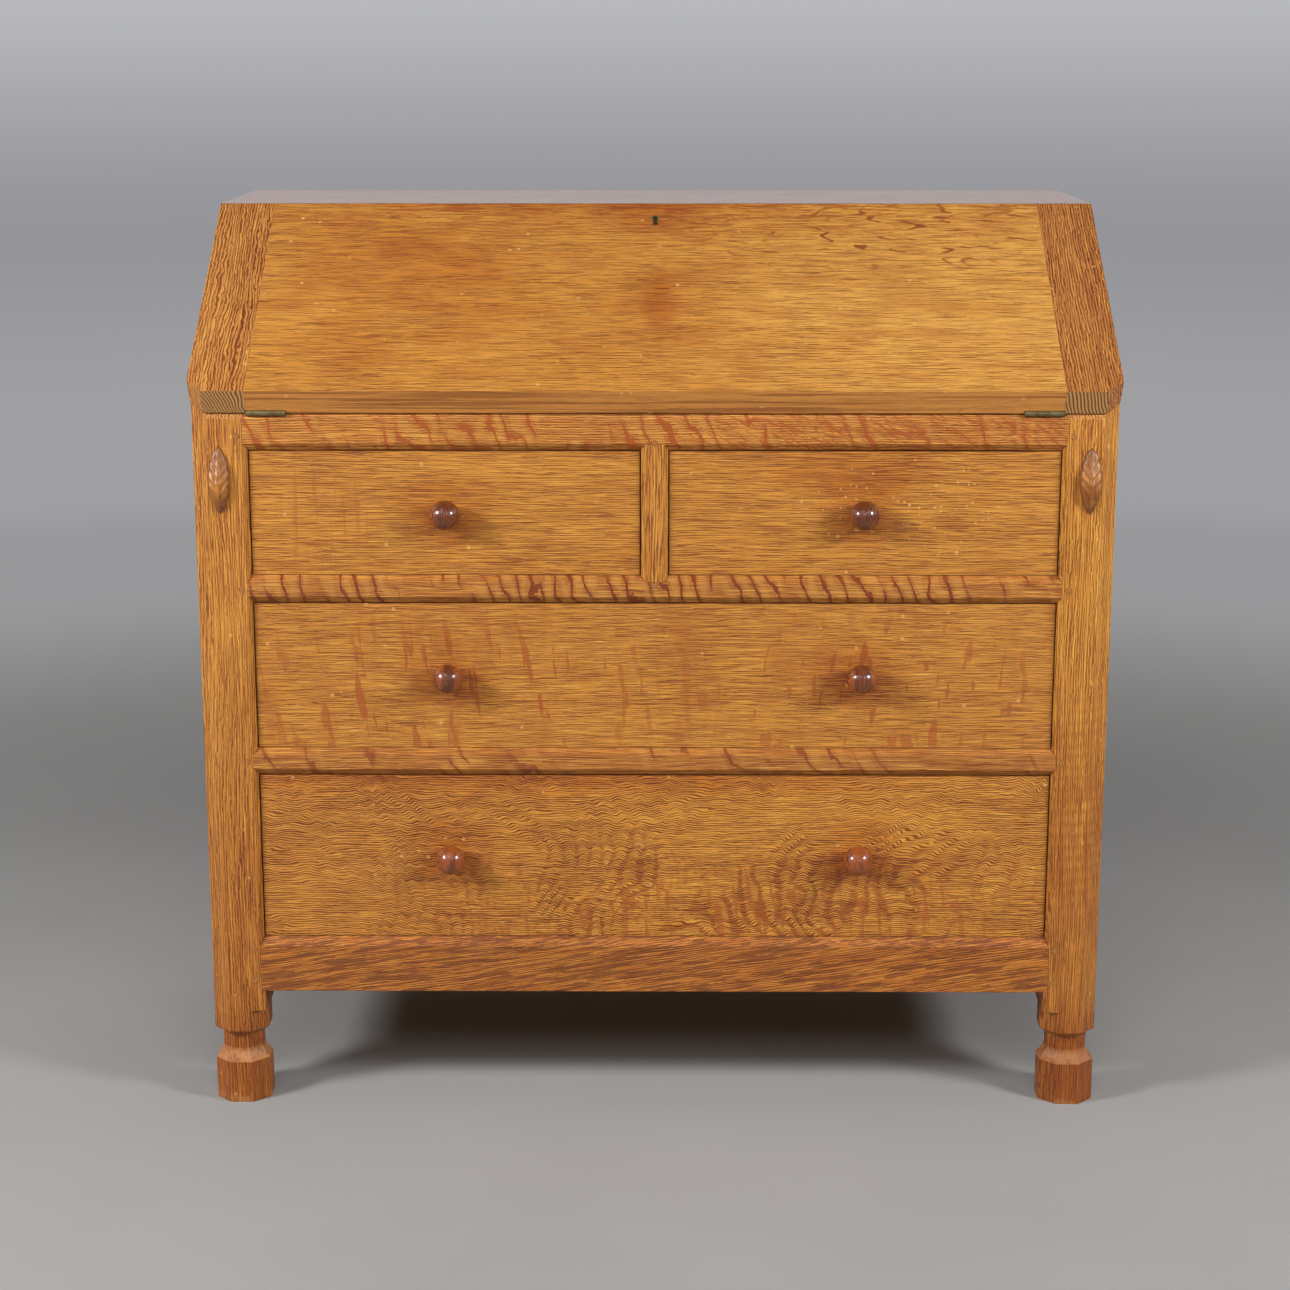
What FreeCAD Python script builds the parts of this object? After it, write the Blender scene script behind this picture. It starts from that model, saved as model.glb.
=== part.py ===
import FreeCAD, Part
import operator
import os
import types

import Sketcher

# A slant-front writing bureau in oak: a post-and-rail carcase on octagonal feet, a fall hinged at
# the desk bed, four drawers and a nest of pigeonholes. Millimetres, +X to the right, +Y to the
# back and +Z up. The origin is on the floor, under the middle of the whole piece.

doc = FreeCAD.newDocument("WritingBureau")

# Driving sizes

SIZES = {
    # whole piece
    "overall_width": 915,
    "carcase_depth": 482,
    "overall_height": 912,
    "bed_height": 723.5,
    "top_depth": 230.618,
    # posts and feet
    "post_width": 56,
    "foot_height": 44,
    "neck_low": 57,
    "neck_high": 72,
    "neck_width": 40.6,
    "neck_hollow_radius": 22,
    "block_low": 78,
    "stop_low": 100,
    "stop_high": 104,
    "post_bevel_height": 6,
    "post_bevel_depth": 3,
    # front rails and the openings between them, from the top down
    "top_rail_height": 37.3,
    "top_opening_height": 125.9,
    "drawer_rail_height": 27.6,
    "middle_opening_height": 150.7,
    "bottom_opening_height": 173.4,
    "bottom_rail_height": 57.8,
    "rail_depth": 46,
    "muntin_width": 26.8,
    "opening_chamfer_depth": 6,
    "rail_chamfer_height": 6.4,
    "bottom_chamfer_height": 9.2,
    "post_chamfer_width": 4,
    "muntin_chamfer_width": 4.9,
    # joints of the frame
    "front_tenon_length": 30,
    "front_tenon_thickness": 12,
    "front_tenon_set_back": 20,
    "front_tenon_shoulder": 3,
    "muntin_tenon_length": 18,
    "frame_tenon_length": 26,
    "frame_tenon_thickness": 10,
    "frame_tenon_shoulder": 6,
    "peg_diameter": 6,
    "peg_length": 38,
    "peg_proud": 0.4,
    "peg_inset": 10,
    "peg_fit": 0.05,
    # side and back frames
    "side_set_in": 4,
    "side_rail_thickness": 24,
    "back_rail_thickness": 24,
    "middle_rail_height": 56,
    "upper_rail_height": 50,
    "back_muntin_width": 60,
    "panel_thickness": 9,
    "panel_groove": 8,
    # desk bed, top board and pigeonholes
    "bed_thickness": 18,
    "bed_groove": 6,
    "top_thickness": 24,
    "nest_depth": 196,
    "nest_shelf_height": 82,
    "nest_board": 8,
    # drawer running gear
    "runner_width": 48,
    "runner_thickness": 18,
    "guide_height": 30,
    "centre_runner_width": 60,
    "guide_gap": 0.6,
    "stop_length": 36,
    "stop_width": 12,
    "stop_height": 6,
    "stop_inset": 60,
    # drawers
    "drawer_inset": 6,
    "drawer_gap": 1.2,
    "drawer_lift": 0.3,
    "drawer_front_thickness": 22,
    "drawer_lap": 8,
    "drawer_side_thickness": 12,
    "drawer_side_drop": 4,
    "drawer_back_thickness": 12,
    "drawer_back_drop": 10,
    "drawer_housing": 4,
    "drawer_bottom_thickness": 6,
    "drawer_bottom_lift": 9,
    "drawer_back_room": 27,
    # knobs
    "knob_diameter": 30,
    "knob_length": 30.5,
    "knob_neck_diameter": 16,
    "knob_base_diameter": 19,
    "knob_base_thickness": 1.6,
    "knob_spigot_diameter": 10,
    "knob_spigot_length": 16,
    "knob_spacing": 414,
    # fall and its hinges
    "fall_thickness": 28,
    "fall_gap": 1,
    "fall_lap": 1.578,
    "cleat_width": 57,
    "cleat_corner_width": 15,
    "cleat_corner_length": 16,
    "cleat_tongue_length": 12,
    "cleat_tongue_thickness": 8,
    "cleat_tongue_shoulder": 20,
    "hinge_gap": 0.5,
    "hinge_length": 39,
    "hinge_inset": 0.5,
    "hinge_leaf_width": 21,
    "hinge_leaf_thickness": 1.6,
    "hinge_barrel_diameter": 5.8,
    "hinge_pin_diameter": 2.4,
    "hinge_pin_fit": 0.05,
    "hinge_clearance": 0.3,
    "screw_head_diameter": 6,
    "screw_shank_diameter": 3,
    "screw_length": 12,
    "screw_spacing": 13,
    "screw_from_barrel": 13,
    "screw_fit": 0.05,
    # lock
    "lock_width": 46,
    "lock_length": 36,
    "lock_thickness": 13,
    "lock_plate_width": 60,
    "lock_plate_thickness": 1.5,
    "bolt_width": 18,
    "bolt_thickness": 6,
    "bolt_length": 22,
    "bolt_fit": 0.3,
    "bolt_set_back": 0.3,
    "bolt_hole_depth": 9,
    "strike_border": 2.4,
    "keyhole_distance": 24,
    "keyhole_diameter": 6.2,
    "keyhole_slot_width": 4,
    "keyhole_slot_length": 11.6,
    "keyhole_rim": 1.1,
    "keyhole_rim_depth": 4,
    # carved drops on the front posts
    "ornament_height": 66,
    "ornament_half_width": 11.5,
    "ornament_proud": 12,
    "ornament_below_bed": 34,
}

# Places of pegs up each rail, tails along a drawer side and dividers across the nest
PEG_SHARES = {"top": (0.38,), "drawer": (0.5,), "bottom": (0.19, 0.78)}
MUNTIN_PEG_SHARES = {"top": 0.21, "drawer": 0.66}
TAIL_COUNT = 4
TAIL_END_SHARE = 0.66
TAIL_NECK_SHARE = 0.44
DIVIDER_SHARES = (-0.6, -0.2, 0.2, 0.6)

sheet = doc.addObject("Spreadsheet::Sheet", "Sizes")
for row, (word, number) in enumerate(SIZES.items(), start=1):
    sheet.set(f"A{row}", word)
    sheet.set(f"B{row}", str(number))
    sheet.setAlias(f"B{row}", word)
doc.recompute()


class Length:
    """A number with the sheet formula behind it, so that sums of sizes stay live in the document."""

    def __init__(self, number, text):
        self.number = number
        self.text = text

    def __add__(self, other):
        return combine(self, "+", other)

    def __radd__(self, other):
        return combine(other, "+", self)

    def __sub__(self, other):
        return combine(self, "-", other)

    def __rsub__(self, other):
        return combine(other, "-", self)

    def __mul__(self, other):
        return combine(self, "*", other)

    def __rmul__(self, other):
        return combine(other, "*", self)

    def __truediv__(self, other):
        return combine(self, "/", other)

    def __rtruediv__(self, other):
        return combine(other, "/", self)

    def __neg__(self):
        return combine(0, "-", self)


OPERATIONS = {"+": operator.add, "-": operator.sub, "*": operator.mul, "/": operator.truediv}


def as_length(item):
    return item if isinstance(item, Length) else Length(float(item), repr(float(item)))


def combine(left, sign, right):
    left, right = as_length(left), as_length(right)
    return Length(OPERATIONS[sign](left.number, right.number), f"({left.text} {sign} {right.text})")


def function(word, argument):
    """A sheet function of a length or an angle, such as cos or sqrt."""
    text = f"{word}({argument.text})"
    return Length(float(sheet.evalExpression(text)), text)


size = types.SimpleNamespace(**{word: Length(float(SIZES[word]), f"Sizes.{word}") for word in SIZES})

# Building blocks of the document

PIECES = {}


def keep(name, piece):
    """Names a finished piece, and gives up any blank's claim to that name."""
    for blank in doc.getObjectsByLabel(name):
        blank.Label = name + "_blank"
    piece.Label = name
    PIECES[name] = piece
    return piece


def place(piece, x, y, z):
    for where, value in (("x", x), ("y", y), ("z", z)):
        piece.setExpression(f"Placement.Base.{where}", as_length(value).text)


def block(name, x, y, z):
    """A squared board from its low and high ends along each axis."""
    board = doc.addObject("Part::Box", name)
    for side, (low, high) in (("Length", x), ("Width", y), ("Height", z)):
        board.setExpression(side, (as_length(high) - low).text)
    place(board, x[0], y[0], z[0])
    return board


TURNS = {
    "x": FreeCAD.Rotation(FreeCAD.Vector(0, 1, 0), 90),
    "y": FreeCAD.Rotation(FreeCAD.Vector(1, 0, 0), -90),
    "z": FreeCAD.Rotation(),
}


def rod(name, along, radius, start, length):
    """A cylinder from its start point, along one axis."""
    cylinder = doc.addObject("Part::Cylinder", name)
    cylinder.setExpression("Radius", radius.text)
    cylinder.setExpression("Height", length.text)
    cylinder.Placement = FreeCAD.Placement(FreeCAD.Vector(), TURNS[along])
    place(cylinder, *start)
    return cylinder


def outline(body, plane, points, arcs):
    """A closed sketch through the points. arcs gives the radius of each round edge by the point
    that it starts from, positive where an edge of an anticlockwise outline swells."""
    sketch = body.newObject("Sketcher::SketchObject", body.Name + "_outline")
    planes = {part.Role: part for part in body.Origin.OriginFeatures}
    sketch.AttachmentSupport = [(planes[plane + "_Plane"], "")]
    sketch.MapMode = "FlatFace"
    corners = [(as_length(x), as_length(y)) for x, y in points]
    flat = [FreeCAD.Vector(x.number, y.number, 0) for x, y in corners]
    bends = {number: arcs[point] for number, point in enumerate(points) if point in arcs}
    ends = []
    for number, (start, end) in enumerate(zip(flat, flat[1:] + flat[:1])):
        if number in bends:
            radius = abs(bends[number].number)
            chord = end - start
            outward = FreeCAD.Vector(chord.y, -chord.x, 0).normalize()
            rise = max(radius**2 - (chord.Length / 2) ** 2, 0) ** 0.5
            swells = bends[number].number > 0
            centre = (start + end) / 2 - outward * (rise if swells else -rise)
            first, last = (start, end) if swells else (end, start)
            circle = Part.Circle(centre, FreeCAD.Vector(0, 0, 1), radius)
            angles = [circle.parameter(point) for point in (first, last)]
            sketch.addGeometry(Part.ArcOfCircle(circle, *angles))
            ends.append((1, 2) if swells else (2, 1))
        else:
            sketch.addGeometry(Part.LineSegment(start, end))
            ends.append((1, 2))
    count = len(corners)
    for number, (x, y) in enumerate(corners):
        after = (number + 1) % count
        meeting = (number, ends[number][1], after, ends[after][0])
        sketch.addConstraint(Sketcher.Constraint("Coincident", *meeting))
        for way, value in (("DistanceX", x), ("DistanceY", y)):
            pin = Sketcher.Constraint(way, -1, 1, number, ends[number][0], value.number)
            index = sketch.addConstraint(pin)
            sketch.setExpression(f"Constraints[{index}]", value.text)
    for number, radius in bends.items():
        bend = Sketcher.Constraint("Radius", number, abs(radius.number))
        index = sketch.addConstraint(bend)
        sketch.setExpression(f"Constraints[{index}]", f"abs({radius.text})")
    return sketch


def profile(name, plane, points, low, high, arcs=None):
    """A body with one outline on an origin plane, padded from low to high across that plane."""
    body = doc.addObject("PartDesign::Body", name)
    sketch = outline(body, plane, points, arcs or {})
    low, high = as_length(low), as_length(high)
    offset = -high if plane == "XZ" else low
    sketch.setExpression("AttachmentOffset.Base.z", offset.text)
    pad = body.newObject("PartDesign::Pad", name + "_pad")
    pad.Profile = sketch
    pad.setExpression("Length", (high - low).text)
    return body


def turned(name, points, arcs):
    """A body turned about its own Y axis, from an outline of radius and height."""
    body = doc.addObject("PartDesign::Body", name)
    sketch = outline(body, "XY", points, arcs)
    turning = body.newObject("PartDesign::Revolution", name + "_turning")
    turning.Profile = sketch
    turning.ReferenceAxis = (sketch, ["V_Axis"])
    turning.Angle = 360
    return body


def carve(name, piece, *tools):
    """The piece with each tool's shape cut out of it."""
    for tool in tools:
        cut = doc.addObject("Part::Cut", name + "_cut")
        cut.Base = piece
        cut.Tool = tool
        piece = cut
    return piece


def join(name, *pieces):
    """One solid made of several shapes."""
    fusion = doc.addObject("Part::MultiFuse", name + "_joined")
    fusion.Shapes = list(pieces)
    return fusion


def common(name, *pieces):
    """What several shapes share."""
    shared = doc.addObject("Part::MultiCommon", name + "_shared")
    shared.Shapes = list(pieces)
    return shared


def group(name, *pieces):
    """Separate solids that share one name."""
    together = doc.addObject("Part::Compound", name + "_group")
    together.Links = list(pieces)
    return together


def mirrored(name, piece):
    """The piece's left-hand twin."""
    twin = doc.addObject("Part::Mirroring", name + "_twin")
    twin.Source = piece
    twin.Normal = FreeCAD.Vector(1, 0, 0)
    return twin


def pair(name, piece):
    """A right-hand piece and its left-hand twin, as two solids."""
    return group(name, piece, mirrored(name, piece))


# Planes and levels that the pieces share

half_width = size.overall_width / 2
knob_reach = size.knob_length - size.drawer_inset
front = (knob_reach - size.carcase_depth) / 2
back = front + size.carcase_depth
opening_side = half_width - size.post_width
post_behind = front + size.post_width
back_post_front = back - size.post_width
rail_behind = front + size.rail_depth
bed = size.bed_height
top_underside = size.overall_height - size.top_thickness
slope_rise = top_underside - bed
slope_run = size.carcase_depth - size.top_depth
slope_length = function("sqrt", slope_rise * slope_rise + slope_run * slope_run)
slope_sine = slope_rise / slope_length
slope_cosine = slope_run / slope_length
slope_tangent = slope_rise / slope_run
slope_angle = function("atan", slope_tangent)

top_opening = (
    bed - size.top_rail_height - size.top_opening_height,
    bed - size.top_rail_height,
)
middle_opening = (
    top_opening[0] - size.drawer_rail_height - size.middle_opening_height,
    top_opening[0] - size.drawer_rail_height,
)
bottom_opening = (
    middle_opening[0] - size.drawer_rail_height - size.bottom_opening_height,
    middle_opening[0] - size.drawer_rail_height,
)
bottom_rail_low = bottom_opening[0] - size.bottom_rail_height

side_outer = half_width - size.side_set_in
side_inner = side_outer - size.side_rail_thickness
side_middle = side_outer - size.side_rail_thickness / 2
back_inner = back - size.back_rail_thickness
back_middle = back - size.back_rail_thickness / 2


def slope_height(y, below=0):
    """The height of the seat of the fall at y, or of a line at some depth square below it."""
    return bed + (y - front) * slope_tangent - below / slope_cosine


def slope_place(z, below=0):
    """The y at which that line stands z high."""
    return front + (z - bed + below / slope_cosine) / slope_tangent


# Posts: square above, eight-sided below, with a hollowed neck over each foot.
# Each is what four silhouettes share: seen from the front, from the side and across both corners.

half_post = size.post_width / 2
half_neck = size.neck_width / 2
corner_reach = size.post_width
FOOT = (
    (half_post, 0),
    (half_post, size.foot_height),
    (half_neck, size.neck_low),
    (half_neck, size.neck_high),
    (half_post, size.block_low),
)
CORNER_STOP = ((half_post, size.stop_low), (corner_reach, size.stop_high))


def silhouette(name, plane, middle, right_top, left_top, low, high):
    """A post's outline up its right side, over its top and down its left side."""
    right = [(middle + half, z) for half, z in FOOT] + right_top
    left = left_top + [(middle - half, z) for half, z in reversed(FOOT)]
    flare_starts = (right[1], left[-3])
    arcs = {start: -size.neck_hollow_radius for start in flare_starts}
    return profile(name, plane, right + left, low, high, arcs)


def post(name, y_low, side_right_top, side_left_top, outer_front_stop):
    """A right-hand post. outer_front_stop is empty where that corner is chamfered to the top."""
    middle_x, middle_y = half_width - half_post, y_low + half_post
    top = top_underside
    straight = [(half_post, top)]
    stopped = [(reach, z) for reach, z in CORNER_STOP] + [(corner_reach, top)]
    mirror = [(-reach, z) for reach, z in reversed(stopped)]
    facing = silhouette(
        name + "_facing",
        "XZ",
        middle_x,
        [(middle_x + half_post, top)],
        [(middle_x - half_post, top)],
        y_low,
        y_low + size.post_width,
    )
    sideways = silhouette(
        name + "_sideways",
        "YZ",
        middle_y,
        side_right_top,
        side_left_top,
        half_width - size.post_width,
        half_width,
    )
    corners = []
    for angle, right_top in ((-45, stopped if outer_front_stop else straight), (45, stopped)):
        corner = silhouette(
            name + "_corner", "XZ", as_length(0), right_top, mirror, -corner_reach, corner_reach
        )
        turn = FreeCAD.Rotation(FreeCAD.Vector(0, 0, 1), angle)
        corner.Placement = FreeCAD.Placement(FreeCAD.Vector(), turn)
        place(corner, middle_x, middle_y, 0)
        corners.append(corner)
    return common(name, facing, sideways, *corners)


def front_post_blank():
    bevel_end = front + size.post_bevel_depth
    blank = post(
        "front_post",
        front,
        [(post_behind, slope_height(post_behind))],
        [(bevel_end, slope_height(bevel_end)), (front, bed - size.post_bevel_height)],
        False,
    )
    arris = profile(
        "opening_arris",
        "XY",
        [
            (opening_side, front),
            (opening_side + size.post_chamfer_width, front),
            (opening_side, front + size.opening_chamfer_depth),
        ],
        bottom_rail_low,
        top_underside,
    )
    return carve("front_post_blank", blank, arris)


def back_post_blank():
    top = top_underside
    return post("back_post", back_post_front, [(back, top)], [(back_post_front, top)], True)


right_front_blank = front_post_blank()
left_front_blank = mirrored("left_front_blank", right_front_blank)
right_back_blank = back_post_blank()
left_back_blank = mirrored("left_back_blank", right_back_blank)

# Pegs through the front joints, and their holes

RAIL_SPANS = {
    "top": (top_opening[1], size.top_rail_height, PEG_SHARES["top"]),
    "upper": (middle_opening[1], size.drawer_rail_height, PEG_SHARES["drawer"]),
    "lower": (bottom_opening[1], size.drawer_rail_height, PEG_SHARES["drawer"]),
    "bottom": (bottom_rail_low, size.bottom_rail_height, PEG_SHARES["bottom"]),
}


def peg_places():
    for low, height, shares in RAIL_SPANS.values():
        for share in shares:
            yield opening_side + size.peg_inset, low + height * share
            yield -opening_side - size.peg_inset, low + height * share
    for level, rail in (("top", "top"), ("drawer", "upper")):
        low, height, _ = RAIL_SPANS[rail]
        yield as_length(0), low + height * MUNTIN_PEG_SHARES[level]


def frame_pegs(name, fit, proud):
    radius = size.peg_diameter / 2 + fit
    start = front - proud
    rods = [
        rod(name, "y", radius, (x, start, z), size.peg_length + proud) for x, z in peg_places()
    ]
    return group(name, *rods)


pegs = keep("frame_pegs", frame_pegs("frame_peg", -size.peg_fit, size.peg_proud))
peg_holes = frame_pegs("peg_hole", as_length(0), size.peg_proud)

# Front rails: scribed over the posts' chamfers, with a tenon into each post

tenon_depth = (
    front + size.front_tenon_set_back,
    front + size.front_tenon_set_back + size.front_tenon_thickness,
)


def front_rail_blank(name, low, high, lower_chamfer, upper_chamfer, upper_depth):
    shoulder = opening_side + size.post_chamfer_width
    lower_depth = size.opening_chamfer_depth if lower_chamfer else 0
    points = [(front, low + (lower_chamfer or 0))]
    if lower_chamfer:
        points.append((front + lower_depth, low))
    points += [
        (rail_behind, low),
        (rail_behind, high),
        (front + upper_depth, high),
        (front, high - upper_chamfer),
    ]
    blank = profile(name, "YZ", points, -shoulder, shoulder)
    return carve(name, blank, right_front_blank, left_front_blank)


def front_tenon(name, low, high):
    """The right-hand tenon of a front rail."""
    x = (opening_side, opening_side + size.front_tenon_length)
    shoulder = size.front_tenon_shoulder
    return block(name, x, tenon_depth, (low + shoulder, high - shoulder))


FRONT_RAILS = {
    "top_front_rail": (top_opening[1], bed),
    "upper_drawer_rail": (middle_opening[1], top_opening[0]),
    "lower_drawer_rail": (bottom_opening[1], middle_opening[0]),
    "bottom_front_rail": (bottom_rail_low, bottom_opening[0]),
}
FRONT_CHAMFERS = {
    "top_front_rail": (size.rail_chamfer_height, size.post_bevel_height, size.post_bevel_depth),
    "upper_drawer_rail": (
        size.rail_chamfer_height,
        size.rail_chamfer_height,
        size.opening_chamfer_depth,
    ),
    "lower_drawer_rail": (
        size.rail_chamfer_height,
        size.rail_chamfer_height,
        size.opening_chamfer_depth,
    ),
    "bottom_front_rail": (None, size.bottom_chamfer_height, size.opening_chamfer_depth),
}
front_tenons = []
rail_blanks = {}
rail_bodies = {}
for name, (low, high) in FRONT_RAILS.items():
    right_tenon = front_tenon(name + "_tenon", low, high)
    left_tenon = mirrored(name + "_tenon", right_tenon)
    front_tenons.append(right_tenon)
    rail_blanks[name] = front_rail_blank(name, low, high, *FRONT_CHAMFERS[name])
    rail_bodies[name] = join(name, rail_blanks[name], right_tenon, left_tenon)

# Muntin between the top drawers, scribed over the rails' chamfers, with a tenon at each end

half_muntin = size.muntin_width / 2
muntin_chamfer = size.muntin_chamfer_width
muntin_face = half_muntin - muntin_chamfer
muntin_blank = profile(
    "drawer_muntin",
    "XY",
    [
        (-muntin_face, front),
        (muntin_face, front),
        (half_muntin, front + size.opening_chamfer_depth),
        (half_muntin, rail_behind),
        (-half_muntin, rail_behind),
        (-half_muntin, front + size.opening_chamfer_depth),
    ],
    top_opening[0] - size.rail_chamfer_height,
    top_opening[1] + size.rail_chamfer_height,
)
muntin_tenons = [
    block("muntin_tenon", (-muntin_face, muntin_face), tenon_depth, (low, low + length))
    for low, length in (
        (top_opening[1], size.muntin_tenon_length),
        (top_opening[0] - size.muntin_tenon_length, size.muntin_tenon_length),
    )
]
muntin_body = carve(
    "drawer_muntin",
    muntin_blank,
    rail_blanks["top_front_rail"],
    rail_blanks["upper_drawer_rail"],
)
muntin_body = join("drawer_muntin", muntin_body, *muntin_tenons)
keep("drawer_muntin", carve("drawer_muntin", muntin_body, peg_holes))

# Side frames: four rails and two panels a side, tenoned and grooved into the posts

frame_y = (post_behind, back_post_front)
tenon_x = (
    side_middle - size.frame_tenon_thickness / 2,
    side_middle + size.frame_tenon_thickness / 2,
)


def side_tenon(name, at_back, low, high):
    reach = size.frame_tenon_length
    y = (back_post_front, back_post_front + reach) if at_back else (post_behind - reach, post_behind)
    shoulder = size.frame_tenon_shoulder
    return block(name, tenon_x, y, (low + shoulder, high - shoulder))


side_tenons = {"front": [], "back": []}


def side_rail(name, points, ends):
    """A right-hand rail from its outline seen from the side. ends gives the tenon at each end."""
    rail = profile(name, "YZ", points, side_inner, side_outer)
    tenons = []
    for end, (low, high) in ends.items():
        tenon = side_tenon(name + "_tenon", end == "back", low, high)
        side_tenons[end].append(tenon)
        tenons.append(tenon)
    return join(name, rail, *tenons)


def level_rail(name, low, high):
    points = [(frame_y[0], low), (frame_y[1], low), (frame_y[1], high), (frame_y[0], high)]
    return side_rail(name, points, {"front": (low, high), "back": (low, high)})


middle_rail_low = bed - size.middle_rail_height
upper_rail_low = top_underside - size.upper_rail_height
depth = size.upper_rail_height
bottom_side = level_rail("bottom_side_rail", bottom_rail_low, bottom_opening[0])
middle_side = level_rail("middle_side_rail", middle_rail_low, bed)
mitre = ((slope_place(top_underside), top_underside), (slope_place(upper_rail_low, depth), upper_rail_low))
sloping_side = side_rail(
    "sloping_side_rail",
    [(post_behind, bed), (slope_place(bed, depth), bed), mitre[1], mitre[0]]
    + [(post_behind, slope_height(post_behind))],
    {"front": (bed, slope_height(post_behind - size.frame_tenon_length))},
)
top_side = side_rail(
    "top_side_rail",
    [mitre[0], mitre[1], (back_post_front, upper_rail_low), (back_post_front, top_underside)],
    {"back": (upper_rail_low, top_underside)},
)

groove = size.panel_groove
panel_x = (side_middle - size.panel_thickness / 2, side_middle + size.panel_thickness / 2)
lower_side_panel = block(
    "lower_side_panel",
    panel_x,
    (frame_y[0] - groove, frame_y[1] + groove),
    (bottom_opening[0] - groove, middle_rail_low + groove),
)
upper_side_panel = profile(
    "upper_side_panel",
    "YZ",
    [
        (slope_place(bed - groove, depth - groove), bed - groove),
        (frame_y[1] + groove, bed - groove),
        (frame_y[1] + groove, upper_rail_low + groove),
        (slope_place(upper_rail_low + groove, depth - groove), upper_rail_low + groove),
    ],
    *panel_x,
)

# Desk bed: flush with the top rail, let into the middle side rails

bed_board = block(
    "desk_bed_board",
    (-side_inner - size.bed_groove, side_inner + size.bed_groove),
    (rail_behind, back_inner),
    (bed - size.bed_thickness, bed),
)
all_post_blanks = (right_front_blank, left_front_blank, right_back_blank, left_back_blank)
keep("desk_bed", carve("desk_bed", bed_board, *all_post_blanks))

side_frame = {
    "bottom_side_rails": carve("bottom_side_rail", bottom_side, lower_side_panel),
    "middle_side_rails": carve(
        "middle_side_rail", middle_side, lower_side_panel, upper_side_panel, bed_board
    ),
    "sloping_side_rails": carve("sloping_side_rail", sloping_side, upper_side_panel),
    "top_side_rails": carve("top_side_rail", top_side, upper_side_panel),
}
for name, rail in side_frame.items():
    keep(name, pair(name, rail))
side_panels = [
    lower_side_panel,
    mirrored("lower_side_panel", lower_side_panel),
    upper_side_panel,
    mirrored("upper_side_panel", upper_side_panel),
]
keep("side_panels", group("side_panels", *side_panels))

# Back frame: three rails, a muntin and three panels between the back posts

back_panel_y = (back_middle - size.panel_thickness / 2, back_middle + size.panel_thickness / 2)
back_tenon_y = (
    back_middle - size.frame_tenon_thickness / 2,
    back_middle + size.frame_tenon_thickness / 2,
)
half_back_muntin = size.back_muntin_width / 2
lower_back_panel = block(
    "lower_back_panel",
    (half_back_muntin - groove, opening_side + groove),
    back_panel_y,
    (bottom_opening[0] - groove, middle_rail_low + groove),
)
lower_back_twin = mirrored("lower_back_panel", lower_back_panel)
upper_back_panel = block(
    "upper_back_panel",
    (-opening_side - groove, opening_side + groove),
    back_panel_y,
    (bed - groove, upper_rail_low + groove),
)
keep("back_panels", group("back_panels", lower_back_panel, lower_back_twin, upper_back_panel))
BACK_RAILS = {
    "back_bottom_rail": (bottom_rail_low, bottom_opening[0]),
    "back_middle_rail": (middle_rail_low, bed),
    "back_top_rail": (upper_rail_low, top_underside),
}
back_tenons = []
back_muntin = block(
    "back_muntin",
    (-half_back_muntin, half_back_muntin),
    (back_inner, back),
    (bottom_opening[0], middle_rail_low),
)
back_muntin_tenons = [
    block("back_muntin_tenon", (-half_muntin, half_muntin), back_tenon_y, (low, low + length))
    for low, length in (
        (bottom_opening[0] - size.muntin_tenon_length, size.muntin_tenon_length),
        (middle_rail_low, size.muntin_tenon_length),
    )
]
for name, (low, high) in BACK_RAILS.items():
    rail = block(name, (-opening_side, opening_side), (back_inner, back), (low, high))
    shoulder = size.frame_tenon_shoulder
    reach = opening_side + size.frame_tenon_length
    tenon = block(name, (-reach, reach), back_tenon_y, (low + shoulder, high - shoulder))
    back_tenons.append(tenon)
    rail = join(name, rail, tenon)
    rail = carve(name, rail, lower_back_panel, lower_back_twin, upper_back_panel)
    keep(name, carve(name, rail, *back_muntin_tenons))
back_muntin = join("back_muntin", back_muntin, *back_muntin_tenons)
keep("back_muntin", carve("back_muntin", back_muntin, lower_back_panel, lower_back_twin))

# Posts with their mortises, grooves and peg holes

right_front = carve(
    "front_post", right_front_blank, *front_tenons, *side_tenons["front"], lower_side_panel
)
right_back = carve(
    "back_post",
    right_back_blank,
    *side_tenons["back"],
    *back_tenons,
    lower_side_panel,
    upper_side_panel,
    lower_back_panel,
    upper_back_panel,
)
right_front = carve("front_post", right_front, peg_holes)
keep("front_post_right", right_front)
keep("front_post_left", mirrored("front_post_left", right_front))
keep("back_post_right", right_back)
keep("back_post_left", mirrored("back_post_left", right_back))

# Fall frame: along the slope from the hinge axis. Its Y runs up the slope and its Z out of the face.

hinge_y = front - size.hinge_gap


def on_slope(piece):
    """Moves a piece drawn flat, with the hinge axis as its X axis, to its place on the slope."""
    turn = FreeCAD.Rotation(FreeCAD.Vector(1, 0, 0), slope_angle.number)
    piece.Placement = FreeCAD.Placement(FreeCAD.Vector(), turn)
    place(piece, 0, hinge_y, bed)
    piece.setExpression("Placement.Rotation.Angle", slope_angle.text)
    return piece


# Hinges: a leaf let into the rail's top, a leaf let into the fall's inner face, and a pin

hinge_x = opening_side - size.hinge_inset - size.hinge_length
barrel_radius = size.hinge_barrel_diameter / 2
clear_radius = barrel_radius + size.hinge_clearance
KNUCKLES = 5
knuckle_length = size.hinge_length / KNUCKLES


def knuckles(name, numbers, radius, spare, y, z):
    """The barrel's pieces of these numbers, spare longer at each end."""
    return [
        rod(name, "x", radius, (hinge_x + knuckle_length * n - spare, y, z), knuckle_length + spare * 2)
        for n in numbers
    ]


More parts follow.
